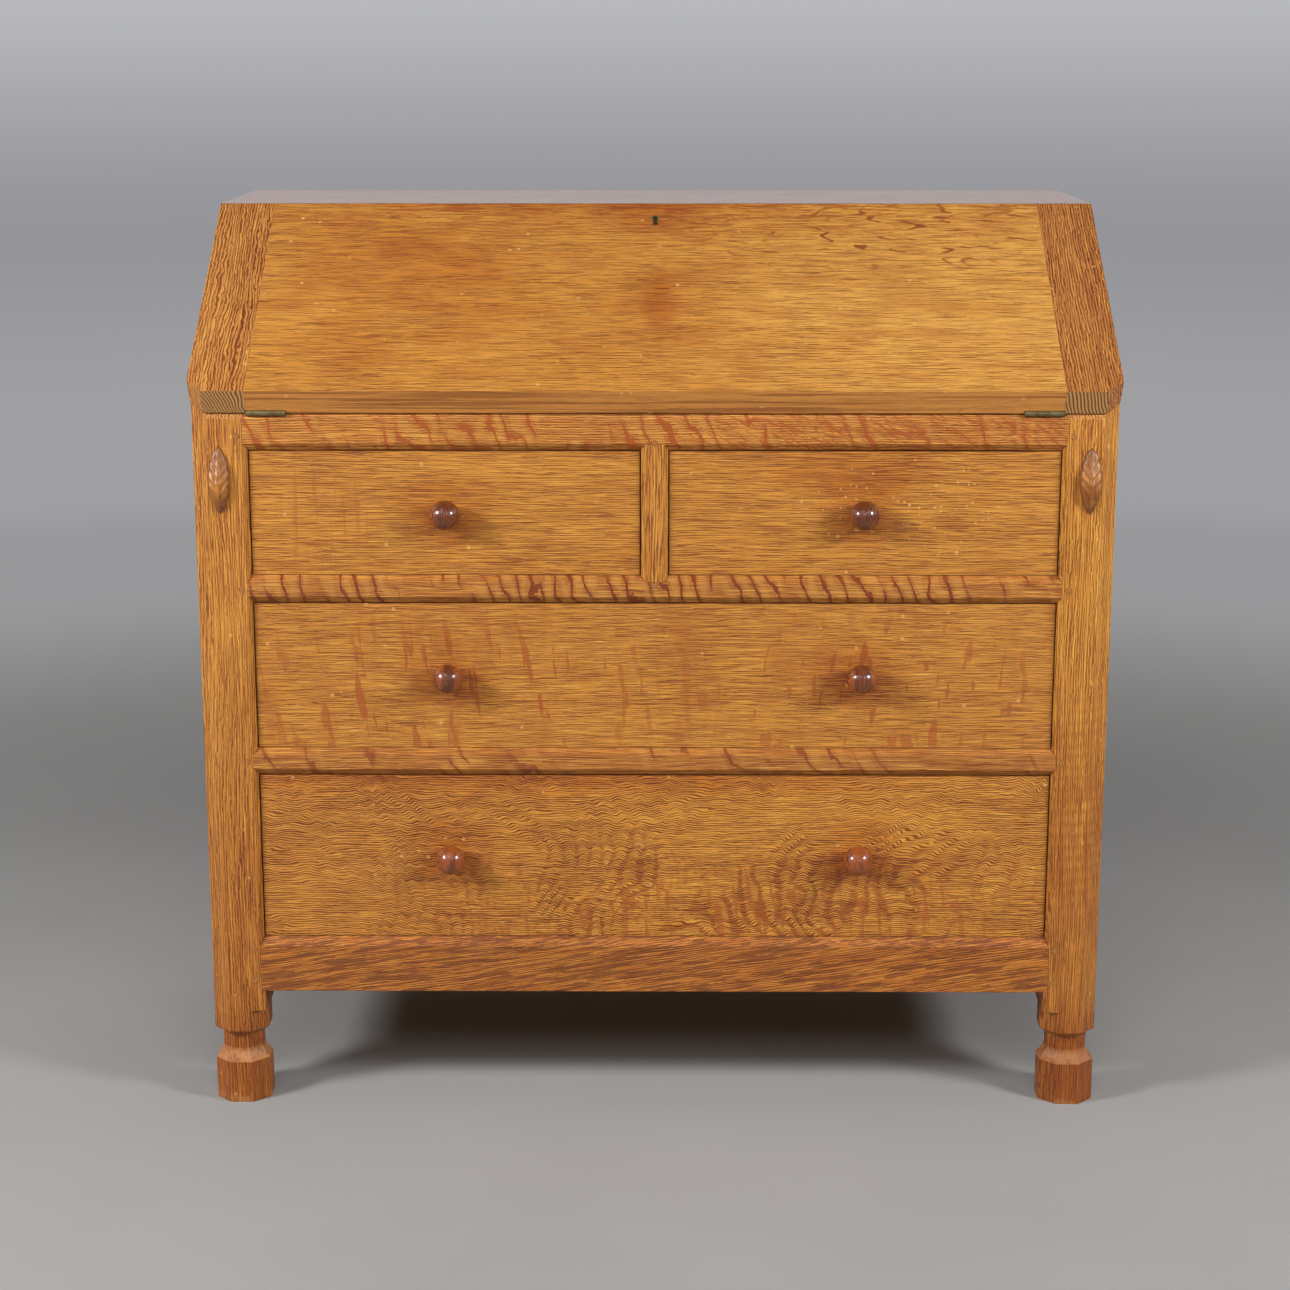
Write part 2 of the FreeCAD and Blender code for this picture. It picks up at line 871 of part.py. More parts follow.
def hinge_leaf(name, own, others, y, plate_y, plate_z, z):
    """A leaf with its knuckles, hollow for the pin and cut away round the other leaf's knuckles."""
    plate = block(name, (hinge_x, hinge_x + size.hinge_length), plate_y, plate_z)
    spare = size.hinge_pin_fit
    rods = knuckles(name, own, barrel_radius, -spare, y, z)
    leaf = carve(name, plate, *knuckles(name, others, clear_radius, spare, y, z))
    leaf = join(name, leaf, *rods)
    bore = size.hinge_pin_diameter / 2 + size.hinge_pin_fit
    return carve(name, leaf, rod(name, "x", bore, (hinge_x, y, z), size.hinge_length))


def screw(name, x, y, z, fit, downwards):
    """A countersunk screw whose head is flush at z, pointing down or up."""
    head_radius = size.screw_head_diameter / 2 + fit
    shank_radius = size.screw_shank_diameter / 2 + fit
    depth = size.hinge_leaf_thickness
    head = doc.addObject("Part::Cone", name + "_head")
    wide, narrow = ("Radius2", "Radius1") if downwards else ("Radius1", "Radius2")
    head.setExpression(wide, head_radius.text)
    head.setExpression(narrow, shank_radius.text)
    head.setExpression("Height", depth.text)
    place(head, x, y, z - depth if downwards else z)
    length = size.screw_length + fit
    shank = rod(name, "z", shank_radius, (x, y, z - length if downwards else z), length)
    return join(name, head, shank)


def screws(name, y, z, fit, downwards):
    middle = hinge_x + size.hinge_length / 2
    return [
        screw(name, middle + size.screw_spacing * step, y, z, fit, downwards)
        for step in (-1, 0, 1)
    ]


RAIL_KNUCKLES = (0, 2, 4)
FALL_KNUCKLES = (1, 3)
leaf_end = hinge_y + size.hinge_leaf_width
rail_leaf = hinge_leaf(
    "rail_leaf",
    RAIL_KNUCKLES,
    FALL_KNUCKLES,
    hinge_y,
    (hinge_y, leaf_end),
    (bed - size.hinge_leaf_thickness, bed),
    bed,
)
rail_screw_y = hinge_y + size.screw_from_barrel
rail_screws = screws("rail_leaf_screw", rail_screw_y, bed, -size.screw_fit, True)
rail_screw_holes = screws("rail_screw_hole", rail_screw_y, bed, as_length(0), True)
rail_leaf = carve("rail_leaf", rail_leaf, *rail_screw_holes)
keep("hinge_rail_leaves", pair("hinge_rail_leaves", rail_leaf))
keep("rail_leaf_screws", pair("rail_leaf_screws", group("rail_leaf_screw", *rail_screws)))
pin = rod("hinge_pin", "x", size.hinge_pin_diameter / 2, (hinge_x, hinge_y, bed), size.hinge_length)
keep("hinge_pins", pair("hinge_pins", pin))

rail_leaf_bed = block(
    "rail_leaf_bed",
    (hinge_x, hinge_x + size.hinge_length),
    (hinge_y, leaf_end),
    (bed - size.hinge_leaf_thickness, bed),
)
barrel_length = size.hinge_length + size.hinge_clearance * 2
barrel_start = hinge_x - size.hinge_clearance
rail_barrel_bed = rod("rail_barrel_bed", "x", clear_radius, (barrel_start, hinge_y, bed), barrel_length)
hinge_cuts = [rail_leaf_bed, rail_barrel_bed, *rail_screw_holes]
hinge_cuts += [mirrored("hinge_cut", cut) for cut in hinge_cuts]
top_rail = carve(
    "top_front_rail", rail_bodies["top_front_rail"], peg_holes, muntin_tenons[0], *hinge_cuts
)
keep("top_front_rail", top_rail)
keep(
    "upper_drawer_rail",
    carve("upper_drawer_rail", rail_bodies["upper_drawer_rail"], peg_holes, muntin_tenons[1]),
)
for name in ("lower_drawer_rail", "bottom_front_rail"):
    keep(name, carve(name, rail_bodies[name], peg_holes))

fall_leaf = hinge_leaf(
    "fall_leaf",
    FALL_KNUCKLES,
    RAIL_KNUCKLES,
    0,
    (0, size.hinge_leaf_width),
    (0, size.hinge_leaf_thickness),
    0,
)
fall_screws = screws("fall_leaf_screw", size.screw_from_barrel, as_length(0), -size.screw_fit, False)
fall_screw_holes = screws("fall_screw_hole", size.screw_from_barrel, as_length(0), as_length(0), False)
fall_leaf = carve("fall_leaf", fall_leaf, *fall_screw_holes)
keep("hinge_fall_leaves", on_slope(pair("hinge_fall_leaves", fall_leaf)))
fall_screw_group = group("fall_leaf_screw", *fall_screws)
keep("fall_leaf_screws", on_slope(pair("fall_leaf_screws", fall_screw_group)))

# Lock: a case let into the fall's inner face, its bolt, a keyhole with its lining, and the strike

bevel_line = slope_length + size.fall_lap
fall_end = bevel_line - size.fall_gap
plate_low = fall_end - size.lock_plate_thickness
half_bolt = size.bolt_width / 2
bolt_z = (
    (size.lock_thickness - size.bolt_thickness) / 2,
    (size.lock_thickness + size.bolt_thickness) / 2,
)
fit = size.bolt_fit
bolt_high = fall_end - size.bolt_set_back
lock_body = block(
    "lock_body",
    (-size.lock_width / 2, size.lock_width / 2),
    (plate_low - size.lock_length, plate_low),
    (0, size.lock_thickness),
)
lock_plate = block(
    "lock_plate",
    (-size.lock_plate_width / 2, size.lock_plate_width / 2),
    (plate_low, fall_end),
    (0, size.lock_thickness),
)
lock_solid = join("lock", lock_body, lock_plate)
bolt_way = block(
    "bolt_way",
    (-half_bolt - fit, half_bolt + fit),
    (bolt_high - size.bolt_length - fit, fall_end),
    (bolt_z[0] - fit, bolt_z[1] + fit),
)
bolt = block("bolt", (-half_bolt, half_bolt), (bolt_high - size.bolt_length, bolt_high), bolt_z)
keep("lock_bolt", on_slope(group("lock_bolt", bolt)))


def keyhole(name, rim, low, high):
    """A round head over a narrower slot, rim wider all round."""
    head_y = fall_end - size.keyhole_distance
    radius = size.keyhole_diameter / 2 + rim
    half_slot = size.keyhole_slot_width / 2 + rim
    slot_end = head_y - size.keyhole_slot_length - rim
    head = rod(name, "z", radius, (0, head_y, low), high - low)
    slot = block(name, (-half_slot, half_slot), (slot_end, head_y), (low, high))
    return join(name, head, slot)


rim_low = size.fall_thickness - size.keyhole_rim_depth
through = keyhole("keyhole", 0, bolt_z[1] + fit, size.fall_thickness)
rim_block = keyhole("keyhole_rim", size.keyhole_rim, rim_low, size.fall_thickness)
keep("lock_case", on_slope(carve("lock_case", lock_solid, bolt_way, through)))
keep("keyhole_lining", on_slope(carve("keyhole_lining", rim_block, through)))

# Fall: one wide panel tongued into a cleat at each end

panel_side = half_width - size.cleat_width
tongue_reach = panel_side + size.cleat_tongue_length
tongue = block(
    "fall_tongue",
    (-tongue_reach, tongue_reach),
    (size.cleat_tongue_shoulder, fall_end - size.cleat_tongue_shoulder),
    (
        (size.fall_thickness - size.cleat_tongue_thickness) / 2,
        (size.fall_thickness + size.cleat_tongue_thickness) / 2,
    ),
)
fall_board = block(
    "fall_board", (-panel_side, panel_side), (0, fall_end), (0, size.fall_thickness)
)
cleat = profile(
    "fall_cleat",
    "XY",
    [
        (panel_side, 0),
        (half_width - size.cleat_corner_width, 0),
        (half_width, size.cleat_corner_length),
        (half_width, fall_end),
        (panel_side, fall_end),
    ],
    0,
    size.fall_thickness,
)
fall_leaf_bed = block(
    "fall_leaf_bed",
    (hinge_x, hinge_x + size.hinge_length),
    (0, size.hinge_leaf_width),
    (0, size.hinge_leaf_thickness),
)
fall_barrel_bed = rod("fall_barrel_bed", "x", clear_radius, (barrel_start, 0, 0), barrel_length)
fall_cuts = [fall_leaf_bed, fall_barrel_bed, *fall_screw_holes]
cleat = carve("fall_cleat", cleat, tongue, fall_leaf_bed, fall_barrel_bed)
keep("fall_cleat_right", on_slope(cleat))
keep("fall_cleat_left", mirrored("fall_cleat_left", cleat))
fall_cuts += [mirrored("fall_cut", cut) for cut in fall_cuts]
fall_body = join("fall_panel", fall_board, tongue)
fall_body = carve("fall_panel", fall_body, *fall_cuts, lock_solid, rim_block, through)
keep("fall_panel", on_slope(fall_body))

# Top board: its front edge leans back to meet the fall's top edge, with the strike plate let in
# over a mortise that is open below


def bevel_place(z):
    """The y of the bevelled front edge at height z: square to the slope, past the fall's end."""
    out = (z - bed - bevel_line * slope_sine) / slope_cosine
    return hinge_y + bevel_line * slope_cosine - out * slope_sine


top_blank = profile(
    "top_board",
    "YZ",
    [
        (bevel_place(top_underside), top_underside),
        (back, top_underside),
        (back, size.overall_height),
        (bevel_place(size.overall_height), size.overall_height),
    ],
    -half_width,
    half_width,
)
strike_z = (bolt_z[0] - size.strike_border, bolt_z[1] + size.strike_border)
strike_y = (bevel_line, bevel_line + size.lock_plate_thickness)
strike_x = (-size.lock_plate_width / 2, size.lock_plate_width / 2)
strike_blank = block("strike", strike_x, strike_y, strike_z)
bolt_hole = block(
    "bolt_hole",
    (-half_bolt - fit, half_bolt + fit),
    (bevel_line, bevel_line + size.bolt_hole_depth),
    (bolt_z[0] - fit, bolt_z[1] + fit),
)
strike_cut = on_slope(group("strike_cut", strike_blank))
mortise_reach = bevel_line + size.bolt_hole_depth
mortise_back = hinge_y + mortise_reach * slope_cosine - (bolt_z[0] - fit) * slope_sine
mortise_high = bed + mortise_reach * slope_sine + (bolt_z[1] + fit) * slope_cosine
bolt_mortise = block(
    "bolt_mortise",
    (-half_bolt - fit, half_bolt + fit),
    (bevel_place(mortise_high), mortise_back),
    (top_underside, mortise_high),
)
keep("lock_strike", on_slope(carve("lock_strike", strike_blank, bolt_hole)))
keep("top_board", carve("top_board", top_blank, strike_cut, bolt_mortise))

# Drawer running gear: runners, guides and kickers along both sides and under the top muntin

runner_x = (side_inner - size.runner_width, side_inner)
guide_x = (opening_side + size.guide_gap, side_inner)
side_run = (rail_behind, back_inner)
half_runner = size.centre_runner_width / 2
half_guide = half_muntin - size.guide_gap
runner_blocks = []
guide_blocks = []
for low, _ in (top_opening, middle_opening, bottom_opening):
    runner_blocks.append(block("runner", runner_x, side_run, (low - size.runner_thickness, low)))
    guide_blocks.append(block("guide", guide_x, side_run, (low, low + size.guide_height)))
kicker_z = (top_opening[1], bed - size.bed_thickness)
guide_blocks.append(block("kicker", runner_x, side_run, kicker_z))
runners = [carve("runner", item, right_front_blank, right_back_blank) for item in runner_blocks]
guides = [carve("guide", item, right_front_blank, right_back_blank) for item in guide_blocks]
runners += [mirrored("runner", item) for item in runners]
guides += [mirrored("guide", item) for item in guides]
centre_x = (-half_runner, half_runner)
centre_low = top_opening[0]
runners.append(block("runner", centre_x, side_run, (centre_low - size.runner_thickness, centre_low)))
guides.append(
    block("guide", (-half_guide, half_guide), side_run, (centre_low, centre_low + size.guide_height))
)
guides.append(block("kicker", centre_x, side_run, kicker_z))
keep("drawer_runners", group("drawer_runners", *runners))
keep("drawer_guides", group("drawer_guides", *guides))

stop_y = front + size.drawer_inset + size.drawer_front_thickness + size.drawer_lift
stops = []
for opening, places in (
    (top_opening, (half_muntin + size.stop_inset, opening_side - size.stop_inset)),
    (middle_opening, (opening_side - size.stop_inset,)),
    (bottom_opening, (opening_side - size.stop_inset,)),
):
    for x in places:
        stop_block = block(
            "stop",
            (x - size.stop_length / 2, x + size.stop_length / 2),
            (stop_y, stop_y + size.stop_width),
            (opening[0], opening[0] + size.stop_height),
        )
        stops += [stop_block, mirrored("stop", stop_block)]
keep("drawer_stops", group("drawer_stops", *stops))

# Pigeonholes: one shelf halved across four upright dividers

nest_y = (back_inner - size.nest_depth, back_inner)
nest_half = (nest_y[0] + nest_y[1]) / 2
shelf_z = (bed + size.nest_shelf_height, bed + size.nest_shelf_height + size.nest_board)
shelf_board = block("shelf", (-side_inner, side_inner), nest_y, shelf_z)
shelf_front = block("shelf_front", (-side_inner, side_inner), (nest_y[0], nest_half), shelf_z)
shelf_slots = []
dividers = []
for share in DIVIDER_SHARES:
    middle = side_inner * share
    x = (middle - size.nest_board / 2, middle + size.nest_board / 2)
    board = block("divider", x, nest_y, (bed, top_underside))
    dividers.append(carve("divider", board, shelf_front))
    shelf_slots.append(block("shelf_slot", x, (nest_half, nest_y[1]), shelf_z))
back_blanks = (right_back_blank, left_back_blank)
keep("pigeonhole_shelf", carve("shelf", shelf_board, *back_blanks, *shelf_slots))
keep("pigeonhole_dividers", group("pigeonhole_dividers", *dividers))

# Knobs, turned, with a spigot into the drawer front

ball_radius = size.knob_diameter / 2
neck_radius = size.knob_neck_diameter / 2
base_radius = size.knob_base_diameter / 2
ball_middle = size.knob_length - ball_radius
neck_end = ball_middle - function("sqrt", ball_radius * ball_radius - neck_radius * neck_radius)
spigot_radius = size.knob_spigot_diameter / 2
KNOB_POINTS = (
    (0, size.knob_spigot_length),
    (0, -size.knob_length),
    (neck_radius, -neck_end),
    (base_radius, -size.knob_base_thickness),
    (base_radius, 0),
    (spigot_radius, 0),
    (spigot_radius, size.knob_spigot_length),
)

def knob(name, x, z):
    """A ball on a short neck, standing out of the drawer front at x, z."""
    body = turned(name, KNOB_POINTS, {KNOB_POINTS[1]: ball_radius})
    place(body, x, front + size.drawer_inset, z)
    return body


# Drawers: a lapped-dovetailed box with its bottom board in grooves

front_y = (
    front + size.drawer_inset,
    front + size.drawer_inset + size.drawer_front_thickness,
)
tail_end = front_y[0] + size.drawer_lap
drawer_end = back_inner - size.drawer_back_room


def tail_outline(low, high):
    """A drawer side seen from the side, with its dovetails along the front edge."""
    pitch = (high - low) / TAIL_COUNT
    points = [(drawer_end, low), (drawer_end, high), (front_y[1], high)]
    for number in reversed(range(TAIL_COUNT)):
        middle = low + pitch * (number + 0.5)
        points += [
            (front_y[1], middle + pitch * TAIL_NECK_SHARE / 2),
            (tail_end, middle + pitch * TAIL_END_SHARE / 2),
            (tail_end, middle - pitch * TAIL_END_SHARE / 2),
            (front_y[1], middle - pitch * TAIL_NECK_SHARE / 2),
        ]
    return points + [(front_y[1], low)]


def drawer(name, x_low, x_high, opening, knob_places):
    """A drawer in its opening, from x_low to x_high, with a knob at each place across it."""
    gap, housing = size.drawer_gap, size.drawer_housing
    left, right = x_low + gap, x_high - gap
    inner = (left + size.drawer_side_thickness, right - size.drawer_side_thickness)
    low, high = opening[0] + size.drawer_lift, opening[1] - gap
    side_high = high - size.drawer_side_drop
    bottom_z = (
        low + size.drawer_bottom_lift,
        low + size.drawer_bottom_lift + size.drawer_bottom_thickness,
    )
    sides = [
        profile(name + "_side", "YZ", tail_outline(low, side_high), *span)
        for span in ((left, inner[0]), (inner[1], right))
    ]
    bottom = block(
        name + "_bottom",
        (inner[0] - housing, inner[1] + housing),
        (front_y[1] - housing, drawer_end),
        bottom_z,
    )
    back_board = block(
        name + "_back",
        (inner[0] - housing, inner[1] + housing),
        (drawer_end - size.drawer_back_thickness * 2, drawer_end - size.drawer_back_thickness),
        (bottom_z[1], side_high - size.drawer_back_drop),
    )
    knob_z = (opening[0] + opening[1]) / 2
    knobs = [knob(name + "_knob", x, knob_z) for x in knob_places]
    spigot_holes = [
        rod(
            name + "_spigot_hole",
            "y",
            spigot_radius + size.peg_fit,
            (x, front_y[0], knob_z),
            size.knob_spigot_length + size.peg_fit,
        )
        for x in knob_places
    ]
    board = block(name + "_board", (left, right), front_y, (low, high))
    keep(name + "_front", carve(name + "_front", board, *sides, bottom, *spigot_holes))
    cut_sides = [carve(name + "_side", side, bottom, back_board) for side in sides]
    keep(name + "_sides", group(name + "_sides", *cut_sides))
    keep(name + "_back", back_board)
    keep(name + "_bottom", bottom)
    keep(name + ("_knobs" if len(knobs) > 1 else "_knob"), group(name + "_knobs", *knobs))


knob_x = size.knob_spacing / 2
drawer("top_left_drawer", -opening_side, -half_muntin, top_opening, (-knob_x,))
drawer("top_right_drawer", half_muntin, opening_side, top_opening, (knob_x,))
drawer("middle_drawer", -opening_side, opening_side, middle_opening, (-knob_x, knob_x))
drawer("bottom_drawer", -opening_side, opening_side, bottom_opening, (-knob_x, knob_x))

# Carved drops: a pointed leaf standing out of each front post

ornament_x = half_width - half_post
ornament_high = bed - size.ornament_below_bed
ornament_low = ornament_high - size.ornament_height


def bow_radius(chord, rise):
    """The radius of an arc from its chord and its rise."""
    return (chord * chord / 4 + rise * rise) / (rise * 2)


leaf_radius = bow_radius(size.ornament_height, size.ornament_half_width)
belly_radius = bow_radius(size.ornament_height, size.ornament_proud)
face_tips = [(ornament_x, ornament_low), (ornament_x, ornament_high)]
belly_tips = [(front, ornament_low), (front, ornament_high)]
leaf_face = profile(
    "leaf_face",
    "XZ",
    face_tips,
    front - size.ornament_proud,
    front,
    {tip: leaf_radius for tip in face_tips},
)
leaf_belly = profile(
    "leaf_belly",
    "YZ",
    belly_tips,
    ornament_x - size.ornament_half_width,
    ornament_x + size.ornament_half_width,
    {belly_tips[1]: belly_radius},
)
keep("leaf_ornaments", pair("leaf_ornaments", common("leaf_ornament", leaf_face, leaf_belly)))

# Checks on the finished document, and the files

doc.recompute()
faults = [item.Label for item in doc.Objects if {"Invalid", "Error"} & set(item.State)]
faults += [name for name, piece in PIECES.items() if piece.Shape.isNull() or not piece.Shape.isValid()]
if faults:
    raise SystemExit(f"failed: {faults}")
os.makedirs("parts", exist_ok=True)
for name, piece in PIECES.items():
    piece.Shape.exportStep(f"parts/{name}.step")
    print(f"{name}: {len(piece.Shape.Solids)} solids, {piece.Shape.Volume / 1000:.1f} cm3")
print(f"{len(PIECES)} pieces")
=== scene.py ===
import math
from types import SimpleNamespace

import bmesh
import bpy
import numpy as np
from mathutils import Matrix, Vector


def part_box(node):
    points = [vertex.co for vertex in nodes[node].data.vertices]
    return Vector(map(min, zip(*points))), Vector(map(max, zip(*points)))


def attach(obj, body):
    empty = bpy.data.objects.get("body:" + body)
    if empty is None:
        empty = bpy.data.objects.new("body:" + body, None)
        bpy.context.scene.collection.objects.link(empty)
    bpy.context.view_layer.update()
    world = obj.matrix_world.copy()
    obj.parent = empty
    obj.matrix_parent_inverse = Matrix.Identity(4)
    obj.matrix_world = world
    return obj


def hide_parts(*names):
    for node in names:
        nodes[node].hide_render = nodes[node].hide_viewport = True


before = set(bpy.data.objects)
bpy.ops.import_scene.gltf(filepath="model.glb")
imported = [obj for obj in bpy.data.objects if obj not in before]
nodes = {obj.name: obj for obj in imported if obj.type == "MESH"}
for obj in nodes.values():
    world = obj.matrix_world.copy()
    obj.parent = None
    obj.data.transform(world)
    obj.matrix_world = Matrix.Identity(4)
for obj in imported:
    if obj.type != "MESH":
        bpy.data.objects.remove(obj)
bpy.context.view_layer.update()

X, Y, Z = (1.0, 0.0, 0.0), (0.0, 1.0, 0.0), (0.0, 0.0, 1.0)
FULL_TURN = 2 * math.pi

# Directions of the fall: up its slope and out of its face
SLOPE = math.radians(33.2)
UP_SLOPE = (0.0, math.cos(SLOPE), math.sin(SLOPE))
OUT_OF_SLOPE = (0.0, -math.sin(SLOPE), math.cos(SLOPE))


def tone(red, green, blue):
    """A colour from its screen values, as the shader wants it."""
    shares = [value / 255 for value in (red, green, blue)]
    linear = [s / 12.92 if s <= 0.04045 else ((s + 0.055) / 1.055) ** 2.4 for s in shares]
    return (*linear, 1.0)


# Shader maths


class Wire:
    """An output of a node. Sums and products of wires and numbers add Math nodes."""

    def __init__(self, finish, socket):
        self.finish = finish
        self.socket = socket

    def __add__(self, other):
        return self.finish.maths("ADD", self, other)

    def __radd__(self, other):
        return self.finish.maths("ADD", other, self)

    def __sub__(self, other):
        return self.finish.maths("SUBTRACT", self, other)

    def __rsub__(self, other):
        return self.finish.maths("SUBTRACT", other, self)

    def __mul__(self, other):
        return self.finish.maths("MULTIPLY", self, other)

    def __rmul__(self, other):
        return self.finish.maths("MULTIPLY", other, self)

    def __truediv__(self, other):
        return self.finish.maths("DIVIDE", self, other)

    def __abs__(self):
        return self.finish.maths("ABSOLUTE", self)


class Finish:
    """A material in the making. Each call adds a node and gives its output as a wire."""

    EDGE_LEAN = (0.80, 0.995)

    def __init__(self, name):
        self.material = bpy.data.materials.new(name)
        self.material.use_nodes = True
        self.tree = self.material.node_tree
        self.tree.nodes.clear()
        self.place = self.node("TexCoord", output="Object")

    def node(self, kind, settings=None, sockets=None, output=0):
        made = self.tree.nodes.new("ShaderNode" + kind)
        for key, value in (settings or {}).items():
            setattr(made, key, value)
        for key, value in (sockets or {}).items():
            if isinstance(value, Wire):
                self.tree.links.new(value.socket, made.inputs[key])
            else:
                made.inputs[key].default_value = value
        return Wire(self, made.outputs[output]) if made.outputs else made

    def maths(self, operation, *values):
        return self.node("Math", {"operation": operation}, dict(enumerate(values)))

    def dot(self, first, second):
        return self.node("VectorMath", {"operation": "DOT_PRODUCT"}, {0: first, 1: second}, "Value")

    def along(self, axis):
        """How far the surface lies along an axis of the piece."""
        return self.dot(self.place, axis)

    def lean(self, axis):
        """How much the surface's normal leans along an axis of the piece."""
        return self.dot(self.node("TexCoord", output="Normal"), axis)

    def point(self, x, y, z):
        return self.node("CombineXYZ", None, {0: x, 1: y, 2: z})

    def noise(self, point, scale=1.0, detail=1.0, roughness=0.5):
        sockets = {"Vector": point, "Scale": scale, "Detail": detail, "Roughness": roughness}
        return self.node("TexNoise", None, sockets)

    def cloud(self, pitch, detail=3.0, roughness=0.6):
        """A noise of the surface's place, alike in all directions."""
        return self.noise(self.place, pitch, detail, roughness)

    def streaks(self, along, across, through, pitches, detail=2.0, roughness=0.5):
        """A noise of a board's own places, at pitches per metre along and across the grain."""
        lengthwise, crosswise = pitches
        point = self.point(along * lengthwise, across * crosswise, through * crosswise)
        return self.noise(point, 1.0, detail, roughness)

    def cells(self, point, output="Distance"):
        return self.node("TexVoronoi", None, {"Vector": point, "Scale": 1.0}, output)

    def step(self, value, low, high):
        """A smooth step from 0 at low to 1 at high."""
        sockets = {"Value": value, "From Min": low, "From Max": high}
        return self.node("MapRange", {"interpolation_type": "SMOOTHSTEP"}, sockets)

    def mix(self, share, first, second, way="MIX"):
        settings = {"data_type": "RGBA", "blend_type": way}
        return self.node("Mix", settings, {0: share, 6: first, 7: second}, 2)

    def rounding(self, radius):
        """A normal that rounds the piece's edges, and 1 on those edges fading to 0 beside them."""
        rounded = self.node("Bevel", {"samples": 4}, {"Radius": radius})
        flat = self.node("NewGeometry", output="Normal")
        return rounded, 1 - self.step(self.dot(rounded, flat), *self.EDGE_LEAN)

    def bump(self, height, distance, base=None):
        sockets = {"Height": height, "Distance": distance}
        if base:
            sockets["Normal"] = base
        return self.node("Bump", None, sockets)

    def surface(self, sockets):
        shader = self.node("BsdfPrincipled", None, sockets)
        self.node("OutputMaterial", None, {"Surface": shader})
        return self.material


# Oak

# Pitches are per metre, in pairs along and across the grain. A cut is where a mask starts and where
# it is full. An amount is the most that a colour takes over.
OAK = SimpleNamespace(
    light=tone(234, 173, 76),
    pale=tone(215, 147, 57),
    body=tone(196, 128, 46),
    deep=tone(160, 91, 31),
    line=tone(128, 63, 16),
    # How the growth rings lean and flow
    sway=0.006,
    sway_pitches=(3.0, 9.0),
    tilt=0.3,
    # Waves of the grain, where the wood has figure
    waver=0.0,
    waver_pitch=80.0,
    waver_swirl=4.5,
    flow_pitches=(6.0, 8.0),
    patch_pitches=(13.0, 17.0),
    patch_cut=(0.36, 0.60),
    # Dark dashes
    pitch=430.0,
    rings=0.10,
    shiver=0.5,
    wander_pitches=(75.0, 210.0),
    wander_reach=16,
    dash=34.0,
    line_low=0.49,
    line_high=0.64,
    line_amount=1.0,
    # Bands, blotches and fibres
    band_pitches=(1.8, 64.0),
    band_cut=(0.30, 0.70),
    band_amount=0.75,
    mottle_pitches=(8.0, 12.0),
    mottle_cut=(0.42, 0.78),
    mottle=0.35,
    fibre_pitches=(22.0, 1100.0),
    dark_fibre_cut=(0.46, 0.70),
    light_fibre_cut=(0.30, 0.50),
    fibre_amount=0.7,
    # Growth rings on the end grain
    end_lean=(0.70, 0.95),
    end_amount=0.75,
    end_pitch=290.0,
    end_drift=0.0016,
    end_cut=(-0.5, 0.7),
    # Worn edges
    edge_radius=0.0012,
    edge_amount=0.4,
    scuff_pitch=130.0,
    scuff_cut=(0.30, 0.62),
    # Wax
    roughness=0.40,
    gloss_pitches=(12.0, 12.0),
    gloss_swing=0.16,
    line_roughness=0.10,
    relief=0.00016,
    fibre_relief=0.4,
    coat=0.0,
    coat_roughness=0.12,
)
END_GRAIN = tone(128, 78, 34)
END_PALE = tone(206, 160, 98)
WORN_EDGE = tone(140, 70, 25)
LINE_CROWDING = 2.7
LINE_DEPTH, LEAST_DEPTH = 0.7, 0.20


def oak_grain(finish, grain, shift, look):
    """The board's own axes: u along the grain, v across its face and w through it.

    The rings lie at r = v + tilt * w + 2 * sway * (noise(u, v, w) - 1/2), so they flow along the
    board. Where the wood has figure, r also wavers by waver * sin(2 pi * waver_pitch * u
    + 4 pi * waver_swirl * (noise(u, v, w) - 1/2)), in patches.
    """
    u = finish.along(grain[0]) + shift
    v = finish.along(grain[1])
    w = finish.along(grain[2])
    slow = finish.streaks(u, v, w, look.sway_pitches)
    r = v + w * look.tilt + (slow - 0.5) * (look.sway * 2)
    waves = 0
    if look.waver:
        flow = finish.streaks(u, v, w, look.flow_pitches, 3.0, 0.45)
        swirl = (flow - 0.5) * (look.waver_swirl * 2 * FULL_TURN)
        patches = finish.streaks(u, v, w, look.patch_pitches, 1.0)
        waves = finish.maths("SINE", u * (look.waver_pitch * FULL_TURN) + swirl)
        waves = waves * finish.step(patches, *look.patch_cut)
        r = r + waves * look.waver
    end = finish.step(abs(finish.lean(grain[0])), *look.end_lean)
    return SimpleNamespace(u=u, v=v, w=w, r=r, waves=waves, end=end)


def oak_lines(finish, board, look):
    """Dark dashes along the grain, in growth rings a pitch apart.

    They lie where rings * sin(2 pi * pitch * r + wander) + noise(dash * u, 2.7 * pitch * r) is
    high. The wander is 16 * shiver * (noise(75 * u, 210 * r) - 1/2).
    """
    wander = finish.streaks(board.u, board.r, board.w, look.wander_pitches)
    wander = (wander - 0.5) * (look.shiver * look.wander_reach)
    phase = board.r * (look.pitch * FULL_TURN) + wander
    rings = finish.maths("SINE", phase) * look.rings
    dash_pitches = (look.dash, look.pitch * LINE_CROWDING)
    breaks = finish.streaks(board.u, board.r, board.w, dash_pitches, 2.0, 0.55)
    return finish.step(rings + breaks, look.line_low, look.line_high)


